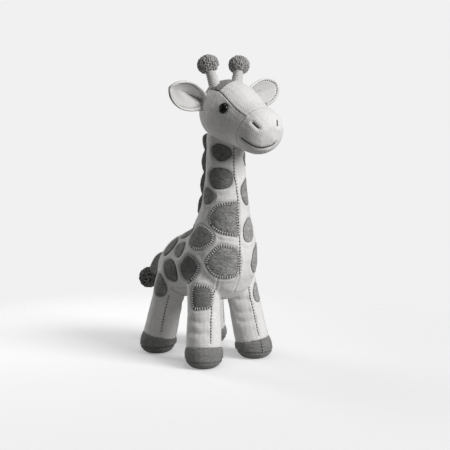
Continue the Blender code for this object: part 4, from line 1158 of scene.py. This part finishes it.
for name, mesh in spot_meshes.items():
    # Spots in shade take the darker copy (painted shade), spots in the light the paler one (painted light).
    shade = SPOT_PAINTED_SHADE if name in SPOTS_IN_PAINTED_SHADE else SPOT_PAINTED_LIGHT if name in SPOTS_IN_PAINTED_LIGHT else SPOT
    spot = add_object(name + "_cloth", mesh, shade)
    if max(vertex.co.z for vertex in mesh.vertices) > BLEND_START.z:
        finish_piece(spot, [name])
        bend_with_head(spot)
    else:
        finish_piece(spot, [name], "body")

# Hooves

hoof_trees = {}
for corner in CORNERS:
    mesh = cover(["hoof_" + corner, "sole_" + corner], rounds=2)
    sole_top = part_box("sole_" + corner)[1].z
    hoof_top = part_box("hoof_" + corner)[1].z
    height = coordinates(mesh)[:, 2]
    share = np.clip((height - sole_top / 2) / (hoof_top - sole_top / 2), 0, 1)
    bulge = HOOF_BULGE * np.sin(math.pi * share)
    push(mesh, lumps(mesh, LUMP_HEIGHT * 0.6) + bulge)
    smooth_hoof = tree_of(mesh)
    sole_away = np.abs(coordinates(mesh)[:, 2] - sole_top)
    push(mesh, groove(sole_away, *SOLE_GROOVE))
    # Painted shade in the sole seam's groove.
    shade_near(mesh, "seam", sole_away, 0.5 * MM)
    places = coordinates(mesh)
    places[:, 2] = np.maximum(places[:, 2], HOOF_REST)
    set_coordinates(mesh, places)
    hoof_trees[corner] = (smooth_hoof, tree_of(mesh))
    hoof = add_object("hoof_cover_" + corner, mesh, HOOF)
    finish_piece(hoof, ["hoof_" + corner, "sole_" + corner], "body")

hoof_seam = photo_line(hoof_trees["front_left"][0], HOOF_SEAM)
for obj in sewn_seam("hoof_seam", hoof_trees["front_left"], [hoof_seam], HOOF_THREAD):
    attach(obj, "body")

# Head

head_mesh = cover(["head", "muzzle"], hulls=["head"], rounds=3)
push(head_mesh, lumps(head_mesh, LUMP_HEIGHT * 0.7) + lumps(head_mesh, WRINKLE_HEIGHT * 0.5, WRINKLE_LENGTH))
smooth_head = tree_of(head_mesh)


def muzzle_seam():
    """The ring where the muzzle is sewn on."""
    points = node_points("muzzle")
    backward = HEAD_TURN.col[1]
    furthest = max(point.dot(backward) for point in points)
    ring = [point for point in points if point.dot(backward) > furthest - RING_FLAT]
    middle = sum(ring, Vector()) / len(ring)
    ring = [point for point in ring if (point - middle).length > RING_INSIDE]
    right, up = HEAD_TURN.col[0], HEAD_TURN.col[2]
    ring.sort(key=lambda p: math.atan2((p - middle).dot(up), (p - middle).dot(right)))
    return laid(smooth_head, spline(ring, closed=True))


gusset = photo_line(smooth_head, GUSSET_SEAM)
far_gusset = laid(smooth_head, [head_mirrored(point) for point in gusset])
mouth = photo_line(smooth_head, MOUTH)
near_nostril = photo_line(smooth_head, NEAR_NOSTRIL)
far_nostril = photo_line(smooth_head, FAR_NOSTRIL)
ring = muzzle_seam()
ring_away = distances(head_mesh, [ring], HEAD_REACH)
gusset_away = distances(head_mesh, [gusset, far_gusset], HEAD_REACH)
mouth_away = distances(head_mesh, [mouth], HEAD_REACH)
nostril_away = distances(head_mesh, [near_nostril, far_nostril], HEAD_REACH)
push(head_mesh, groove(ring_away, *RING_GROOVE) + groove(mouth_away, *MOUTH_GROOVE))
gusset_puckers = puckers(head_mesh, [gusset, far_gusset], GUSSET_PITCH)
push(head_mesh, groove(gusset_away, *GUSSET_GROOVE) + gusset_puckers)
push(head_mesh, groove(nostril_away, *NOSTRIL_GROOVE))
# Painted shade in the grooves of the muzzle ring, gussets, mouth and nostrils.
away = np.minimum(np.minimum(ring_away * 2, gusset_away * 1.7), np.minimum(mouth_away, nostril_away))
shade_near(head_mesh, "seam", away, 0.7 * MM)
head_tree = tree_of(head_mesh)
head_cover = add_object("head_cover", head_mesh, HEAD_CLOTH)
finish_piece(head_cover, ["head", "muzzle"], "head")

crown_rim = patch_rim("crown_patch", smooth_head)[0]
crown = add_object("crown_cloth", patch_mesh(crown_rim, smooth_head), SPOT)
finish_piece(crown, ["crown_patch"], "head")


def embroidered(name, tree, line, radius):
    """A thick line of thread, sunk a little into the cloth."""
    path = []
    for place in evenly(line, 1.0 * MM):
        place, normal = tree.find_nearest(place)[:2]
        path.append((place - normal * radius * NOSTRIL_SINK, normal))
    obj = add_object(name, thread_mesh([path], radius, 8), FACE_THREAD)
    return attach(obj, "head")


head_trees = (smooth_head, head_tree)
mouth_paths = running_stitches(head_trees, mouth, MOUTH_PITCH, MOUTH_STITCH)
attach(add_object("mouth_thread", thread_mesh(mouth_paths, MOUTH_RADIUS, 8), FACE_THREAD), "head")
embroidered("nostril_near", head_tree, near_nostril, 1.15 * MM)
embroidered("nostril_far", head_tree, far_nostril, 1.0 * MM)
gusset_paths = [
    path for line in (gusset, far_gusset)
    for path in running_stitches(head_trees, line, GUSSET_PITCH, GUSSET_STITCH, 0.3 * MM)
]
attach(add_object("gusset_stitches", thread_mesh(gusset_paths, THREAD_RADIUS), DARK_THREAD), "head")

# Eyes


def eye(side):
    """A smooth domed eye over the solid one, with a thin rim."""
    points = node_points("eye_" + side)
    middle = HEAD_PLACE + HEAD_TURN @ EYE_MIDDLE
    outward = max(points, key=lambda p: (p - middle).length)
    axis = (outward - min(points, key=lambda p: (p - middle).length)).normalized()
    rim = outward - axis * EYE_HEIGHT * MM
    profile = list(EYE_RIM)
    dome_radius, dome_foot = EYE_RIM[-1]
    for step in range(1, EYE_STEPS):
        angle = math.pi / 2 * step / EYE_STEPS
        rise = (EYE_HEIGHT - dome_foot) * math.sin(angle)
        profile.append((dome_radius * math.cos(angle), dome_foot + rise))
    profile.append((EYE_TIP_RADIUS, EYE_HEIGHT))
    across = axis.orthogonal().normalized()
    upward = axis.cross(across)
    rows = []
    for radius, height in profile:
        rows += circle(rim + axis * height * MM, across, upward, radius * MM, EYE_SIDES)
    faces = tube_faces(len(profile), EYE_SIDES) + end_faces(len(profile), EYE_SIDES)
    obj = add_object("eye_dome_" + side, mesh_from(rows, faces), EYE)
    return finish_piece(obj, ["eye_" + side], "head")


for side in SIDES:
    eye(side)
    NODES["eye_washer_" + side].data.materials.clear()
    NODES["eye_washer_" + side].data.materials.append(WASHER)

# Ears


def smoothed_node(name, levels=2, rounds=2, swell=SWELL):
    """A node's mesh, finer and rounded, at its own size."""
    mesh = grown(node_mesh(name), swell)
    mesh = evaluated(mesh, "SUBSURF", levels=levels, render_levels=levels, subdivision_type="SIMPLE")
    soften(mesh, rounds, 20)
    return mesh


class Ear:
    """An ear as a stuffed leaf folded along its middle, seen from its front. Places on it are a
    distance along it from its hinge and a distance across it."""

    def __init__(self, side):
        joint = JOINTS[side + "_ear_fold"]
        self.side = side
        self.root = Vector(joint["pos_m"])
        tip = max(node_points("ear_" + side), key=lambda p: (p - self.root).length)
        self.along = (tip - self.root).normalized()
        across = Vector(joint["axis"])
        across = (across - self.along * across.dot(self.along)).normalized()
        if across.z < 0:
            across.negate()
        across.rotate(Matrix.Rotation(EAR_TWISTS[side], 3, self.along))
        self.across = across
        self.forward = self.across.cross(self.along * SIDES[side]).normalized() * -1
        droop = Matrix.Rotation(EAR_DROOPS[side] * SIDES[side], 3, self.forward)
        self.along.rotate(droop)
        self.across.rotate(droop)
        self.rim = self.outline(EAR_OUTLINE)
        self.seam = self.outline(EAR_SEAM)
        self.rim_finder = finder_of([(*place, 0) for place in self.rim])
        self.seam_finder = finder_of([(*place, 0) for place in self.seam])

    def outline(self, halves):
        """A closed line of places round the ear through the given half widths."""
        points = [Vector((along * MM, half * MM, 0)) for along, half in halves]
        points += [Vector((along * MM, -half * MM, 0)) for along, half in reversed(halves[:-1]) if half]
        line = spline(points, closed=True, step=0.5 * MM)[:-1]
        return [(point.x, point.y) for point in line]

    def to_rim(self, along, across):
        return self.rim_finder.find((along, across, 0))[2]

    def to_seam(self, along, across):
        """Distance to the seam, and whether the place is inside it."""
        away = self.seam_finder.find((along, across, 0))[2]
        places, halves = zip(*EAR_SEAM)
        half = float(np.interp(along / MM, places, halves, left=0, right=0)) * MM
        return away, abs(across) < half

    def fold(self, along, across):
        """How far the leaf's middle surface stands forward there: its two halves fold forward."""
        places, depths, creases = zip(*EAR_FOLDS)
        depth = float(np.interp(along / MM, places, depths)) * MM
        crease = float(np.interp(along / MM, places, creases)) * MM
        half = float(np.interp(along / MM, *zip(*EAR_OUTLINE))) * MM
        wide = depth * min(1.3, abs(across) / max(half, 3 * MM)) ** EAR_FOLD_POWER
        aside = abs(across - EAR_CREASE_PLACE) / EAR_CREASE_WIDTH
        return wide - crease * math.exp(-aside ** 1.5)

    def hollow(self, along):
        return float(np.interp(along / MM, *zip(*EAR_HOLLOWS))) * MM

    def front(self, along, across):
        """Height of the front face: a stuffed rim, the seam inside it, then the hollow lining."""
        seam, inside = self.to_seam(along, across)
        if inside:
            height = EAR_SEAM_HEIGHT + EAR_LINING_PUFF * (1 - math.exp(-seam / EAR_LINING_EDGE))
            height -= self.hollow(along) * (1 - math.exp(-(seam / EAR_HOLLOW_EDGE) ** 2))
        else:
            rim = self.to_rim(along, across)
            share = rim / max(rim + seam, 0.01 * MM)
            height = EAR_ROLL * math.sqrt(max(0.0, 1 - (2 * share - 1) ** 2)) + EAR_SEAM_HEIGHT * share
        return self.fold(along, across) + height

    def back(self, along, across):
        rim = self.to_rim(along, across)
        round_off = math.sqrt(max(0.0, 1 - (1 - min(1, rim / EAR_ROLL)) ** 2))
        stuffed = (self.hollow(along) + EAR_BACK_PUFF) * smooth_step(rim / EAR_BACK_REACH)
        bulge = EAR_ROLL * round_off + stuffed
        return self.fold(along, across) - bulge

    def place(self, along, across, height):
        along *= EAR_SHORTENED[self.side]
        point = self.root + self.along * along + self.across * across + self.forward * height
        return point + self.forward * EAR_RIPPLE * noise.noise(point / EAR_RIPPLE_LENGTH)

    def leaf(self):
        """The whole ear as one closed mesh."""
        count, rings = len(self.rim), EAR_RINGS
        middle = Vector((EAR_MIDDLE, 0))
        vertices = []
        for surface in (self.front, self.back):
            for ring in range(rings):
                share = (ring / rings) ** EAR_RING_POWER
                for along, across in self.rim:
                    place = Vector((along, across)).lerp(middle, share)
                    vertices.append(self.place(place.x, place.y, surface(place.x, place.y)))
            vertices.append(self.place(middle.x, middle.y, surface(middle.x, middle.y)))
        mesh = outward(mesh_from(vertices, layer_faces(count, rings)), 0.01 * MM)
        away = np.array([self.seam_and_shaded_edge_away(vertex.co) for vertex in mesh.vertices])
        # Painted shade in the seam's groove and along the outer edge of the ear's lower half.
        shade_near(mesh, "seam", away, 0.4 * MM)
        return mesh

    def seam_and_shaded_edge_away(self, point):
        """Distance to the seam inside the rim, or to the edge of the ear's lower half, for painted shade there.
        """
        offset = point - self.root
        along, across = offset.dot(self.along) / EAR_SHORTENED[self.side], offset.dot(self.across)
        upper = smooth_step((across + EAR_SHADE_EDGE_FADE) / (2 * EAR_SHADE_EDGE_FADE))
        edge = EAR_SHADE_EDGE_SHARE * self.to_rim(along, across) + upper * EAR_SHADE_EDGE_REACH
        if offset.dot(self.forward) < self.fold(along, across):
            return edge
        return min(edge, self.to_seam(along, across)[0])

    def lining(self):
        """The lining inside the seam, a thin closed sheet on the front face."""
        line = [tuple(Vector(place).lerp((EAR_MIDDLE, 0), 0.03)) for place in self.seam]
        count, rings = len(line), LINING_RINGS
        middle = Vector((EAR_MIDDLE, 0))
        vertices = []
        for layer in (1, 0):
            for ring in range(rings):
                for along, across in line:
                    place = Vector((along, across)).lerp(middle, ring / rings)
                    rise = EAR_LINING_RISE * min(1, ring / 1.5) if layer else -EAR_LINING_RISE
                    height = self.front(place.x, place.y) + rise
                    vertices.append(self.place(place.x, place.y, height))
            rise = EAR_LINING_RISE if layer else -EAR_LINING_RISE
            vertices.append(self.place(middle.x, middle.y, self.front(middle.x, middle.y) + rise))
        size = rings * count + 1
        faces = layer_faces(count, rings)
        for index in range(count):
            end = (index + 1) % count
            faces.append((index, end, size + end, size + index))
        return outward(mesh_from(vertices, faces))

    def stitches(self, begin, length, radius):
        """Running stitches along the seam, up to where the ear goes into the head."""
        line = [place for place in self.seam if place[0] > EAR_STITCH_START]
        first = max(range(len(line)), key=lambda i: math.dist(line[i], line[i - 1]))
        line = line[first:] + line[:first]
        points = [self.place(*place, self.front(*place)) for place in line]
        paths = []
        marks = evenly(points, EAR_STITCH_PITCH)
        for start, end in zip(marks, marks[1:]):
            along = (end - start).normalized()
            start, finish = start + along * begin, start + along * (begin + length)
            lift = self.forward * radius
            paths.append([
                (start.lerp(finish, share) + lift * rise, self.forward) for share, rise in EAR_STITCH_RISES
            ])
        return thread_mesh(paths, radius)

    def hang(self, obj):
        """Bakes the piece's placing into its mesh."""
        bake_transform(obj)


for side in SIDES:
    ear = Ear(side)
    ear_cover = add_object("ear_cover_" + side, ear.leaf(), PALE)
    finish_piece(ear_cover, ["ear_" + side])
    ear.hang(ear_cover)
    lining = add_object("ear_inside_" + side, ear.lining(), LINING_IN_PAINTED_SHADE)
    finish_piece(lining, ["ear_lining_" + side])
    ear.hang(lining)
    dark = ear.stitches(0, EAR_STITCH_LENGTH, EAR_THREAD_RADIUS)
    ear.hang(add_object("ear_stitches_" + side, dark, DARK_THREAD))
    pale = ear.stitches(EAR_STITCH_LENGTH, EAR_STITCH_PITCH - EAR_STITCH_LENGTH, EAR_THREAD_RADIUS * 1.1)
    ear.hang(add_object("ear_pale_stitches_" + side, pale, PALE_THREAD))

# Horns


def horn(side):
    """A ribbed cloth stalk with a ball of looped yarn."""
    low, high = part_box("horn_ball_" + side)
    centre = (low + high) / 2
    points = node_points("horn_stalk_" + side)
    top = [point for point in points if (point - centre).length < STALK_TOP]
    top_middle = sum(top, Vector()) / len(top)
    axis = (centre - top_middle).normalized()
    across = axis.orthogonal().normalized()
    upward = axis.cross(across)
    rows = []
    for index in range(STALK_ROWS):
        down = STALK_LENGTH * index / (STALK_ROWS - 1)
        radius = STALK_RADIUS + STALK_FLARE * min(1, down / STALK_FLARE_LENGTH) ** STALK_FLARE_POWER
        radius += STALK_RIB_HEIGHT * math.cos(2 * math.pi * down / STALK_RIB)
        rows += circle(top_middle - axis * down, across, upward, radius, STALK_SIDES)
    faces = tube_faces(STALK_ROWS, STALK_SIDES, flip=True) + end_faces(STALK_ROWS, STALK_SIDES, flip=True)
    stalk = add_object("horn_stalk_cloth_" + side, mesh_from(rows, faces), STALK)
    finish_piece(stalk, ["horn_stalk_" + side], "head")
    core = add_object("horn_ball_core_" + side, ball_mesh(centre, BALL_RADII, axis), BALL_YARN)
    finish_piece(core, ["horn_ball_" + side], "head")

    def inside_stalk(place):
        offset = place - top_middle
        return offset.dot(axis) < 0 and (offset - axis * offset.dot(axis)).length < STALK_INSIDE

    loops = looped_ball(
        "horn_ball_loops_" + side, centre, BALL_RADII, axis, BALL_LOOP, BALL_LOOPS, BALL_YARN, inside_stalk,
    )
    finish_piece(loops, body="head")


for side in SIDES:
    horn(side)

# Mane and tail

mane_mesh = smoothed_node("mane", swell=MANE_SWELL)
push(mane_mesh, sum(lumps(mane_mesh, *sizes) for sizes in MANE_LUMPS))
mane_low, mane_high = (corner.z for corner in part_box("mane"))
for vertex in mane_mesh.vertices:
    vertex.co.y += MANE_LOW_SHIFT * smooth_step((mane_high - vertex.co.z) / (mane_high - mane_low))
mane = add_object("mane_cloth_comb", mane_mesh, MANE)
finish_piece(mane, ["mane"])
bend_with_head(mane)

tail_mesh = smoothed_node("tail")
push(tail_mesh, lumps(tail_mesh, *TAIL_LUMPS))
tail_low, tail_high = (corner.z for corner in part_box("tail"))
tail_firm = tail_high - TAIL_FIRM
for vertex in tail_mesh.vertices:
    share = min(1, max(0, (tail_firm - vertex.co.z) / (tail_firm - tail_low)))
    vertex.co += TAIL_BOW * math.sin(math.pi * share ** TAIL_BOW_POWER) * smooth_step(share * 4)
tail = add_object("tail_cloth", tail_mesh, TAIL)
finish_piece(tail, ["tail"], "tail")

low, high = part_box("tail_pompom")
pompom_middle = (low + high) / 2
pompom_radii = ((high - low).z / 2 - POMPOM_INSET,) * 2
# A darker core: painted shade between the loops.
core = add_object("pompom_core_painted_shade", ball_mesh(pompom_middle, pompom_radii, Vector((0, 0, 1))), POMPOM_SHADE_CORE)
finish_piece(core, ["tail_pompom"], "tail")
loops = looped_ball(
    "pompom_loops", pompom_middle, pompom_radii, Vector((0, 0, 1)), POMPOM_LOOP, POMPOM_LOOPS, POMPOM_YARN,
    tube=0.4,
)
finish_piece(loops, body="tail")

# Stitching on the body

dressed_tree = tree_of(body_mesh, *spot_meshes.values())
trees = (smooth_body, dressed_tree)
for obj in sewn_seam("front_seam", trees, [front_seam], PALE_THREAD):
    bend_with_head(obj)
for obj in sewn_seam("leg_seam", trees, leg_seams, PALE_THREAD):
    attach(obj, "body")
for name in STITCHED_SPOTS:
    rim, middle = rims[name]
    tooth_mesh = thread_mesh(teeth(trees, rim + rim[:2], middle), TOOTH_RADIUS)
    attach(add_object(name + "_stitches", tooth_mesh, PALE_THREAD), "body")

# Floor, backdrop and light

FLOOR_SIZE = 1.2
FADE_START = 0.16
FADE_END = 0.5
BACKDROP = 0.879
FLOOR_VALUE = 0.88
FLOOR_LIFT = 0.28
FLOOR_THROW = 0.55  # the share of its paleness with which the floor lights the toy from below
FLOOR_EVEN = 1.7  # the floor is a little darker towards the key lamp, so that it looks even
KEY_DIRECTION = (0.83, 0.41, 0.52)
KEY_DISTANCE = 1.6
WORLD_STRENGTH = 0.1
# Lamps: name, direction, power in watts, size and distance
LAMPS = (
    ("key", KEY_DIRECTION, 23.3, 0.95, KEY_DISTANCE),
    ("top", (0.1, 1, 0.2), 3.8, 0.7, KEY_DISTANCE),
    ("rim", (-0.95, 0.35, -0.8), 3.0, 0.4, 1.0),
)


def lamp_direction(direction):
    """A direction given as right, up and back, in the room."""
    return (RIGHT * direction[0] + Vector((0, 0, 1)) * direction[1] + BACK * direction[2]).normalized()


KEY_PLACE = TARGET + lamp_direction(KEY_DIRECTION) * KEY_DISTANCE


def make_floor():
    nodes = Nodes("pale_floor")
    place = nodes.add("ShaderNodeTexCoord").outputs["Object"]
    away = nodes.add("ShaderNodeVectorMath", {0: place}, operation="LENGTH").outputs["Value"]
    limits = {"Value": away, "From Min": FADE_START, "From Max": FADE_END}
    fade = nodes.add("ShaderNodeMapRange", limits, interpolation_type="SMOOTHSTEP")
    lamp = nodes.add("ShaderNodeVectorMath", {0: place, 1: KEY_PLACE}, operation="DISTANCE").outputs["Value"]
    far = nodes.math("DIVIDE", lamp, (KEY_PLACE - Vector((TARGET.x, TARGET.y, 0))).length)
    seen = nodes.add("ShaderNodeLightPath").outputs["Is Camera Ray"]
    even = nodes.math("MULTIPLY", nodes.math("POWER", far, FLOOR_EVEN), FLOOR_VALUE)
    thrown = nodes.math("ADD", nodes.math("MULTIPLY", seen, 1 - FLOOR_THROW), FLOOR_THROW)
    even = nodes.math("MULTIPLY", even, thrown)
    colour = nodes.add("ShaderNodeCombineColor", {"Red": even, "Green": even, "Blue": even})
    nodes.set(base_color=colour.outputs[0], roughness=0.95, specular_ior_level=0.0)
    strength = nodes.math("MULTIPLY", seen, FLOOR_LIFT)
    lift = nodes.add("ShaderNodeEmission", {"Color": (1, 1, 1, 1), "Strength": strength})
    lit = nodes.add("ShaderNodeAddShader")
    nodes.tree.links.new(nodes.shader.outputs[0], lit.inputs[0])
    nodes.tree.links.new(lift.outputs[0], lit.inputs[1])
    clear = nodes.add("ShaderNodeBsdfTransparent")
    blend = nodes.add("ShaderNodeMixShader", {0: fade.outputs[0]})
    nodes.tree.links.new(lit.outputs[0], blend.inputs[1])
    nodes.tree.links.new(clear.outputs[0], blend.inputs[2])
    output = nodes.tree.nodes["Material Output"]
    nodes.tree.links.new(blend.outputs[0], output.inputs["Surface"])
    corner = FLOOR_SIZE / 2
    corners = [(-corner, -corner, 0), (corner, -corner, 0), (corner, corner, 0), (-corner, corner, 0)]
    floor = add_object("floor", mesh_from(corners, [(0, 1, 2, 3)]), nodes.material)


def make_world(strength):
    world = bpy.data.worlds.new("studio")
    bpy.context.scene.world = world
    world.use_nodes = True
    tree = world.node_tree
    soft = tree.nodes["Background"]
    soft.inputs["Color"].default_value = (1, 1, 1, 1)
    soft.inputs["Strength"].default_value = strength
    shown = tree.nodes.new("ShaderNodeBackground")
    shown.inputs["Color"].default_value = (BACKDROP, BACKDROP, BACKDROP, 1)
    path = tree.nodes.new("ShaderNodeLightPath")
    blend = tree.nodes.new("ShaderNodeMixShader")
    tree.links.new(path.outputs["Is Camera Ray"], blend.inputs[0])
    tree.links.new(soft.outputs[0], blend.inputs[1])
    tree.links.new(shown.outputs[0], blend.inputs[2])
    tree.links.new(blend.outputs[0], tree.nodes["World Output"].inputs["Surface"])


def area_light(name, direction, power, size, distance):
    """A soft lamp that shines on the toy's middle."""
    data = bpy.data.lights.new(name, "AREA")
    data.shape = "DISK"
    data.size = size
    data.energy = power
    light = bpy.data.objects.new(name, data)
    away = lamp_direction(direction)
    light.location = TARGET + away * distance
    light.rotation_mode = "QUATERNION"
    light.rotation_quaternion = away.to_track_quat("Z", "Y")
    bpy.context.scene.collection.objects.link(light)


make_floor()
make_world(WORLD_STRENGTH)
for lamp in LAMPS:
    area_light(*lamp)

bpy.context.scene.view_settings.view_transform = "Standard"
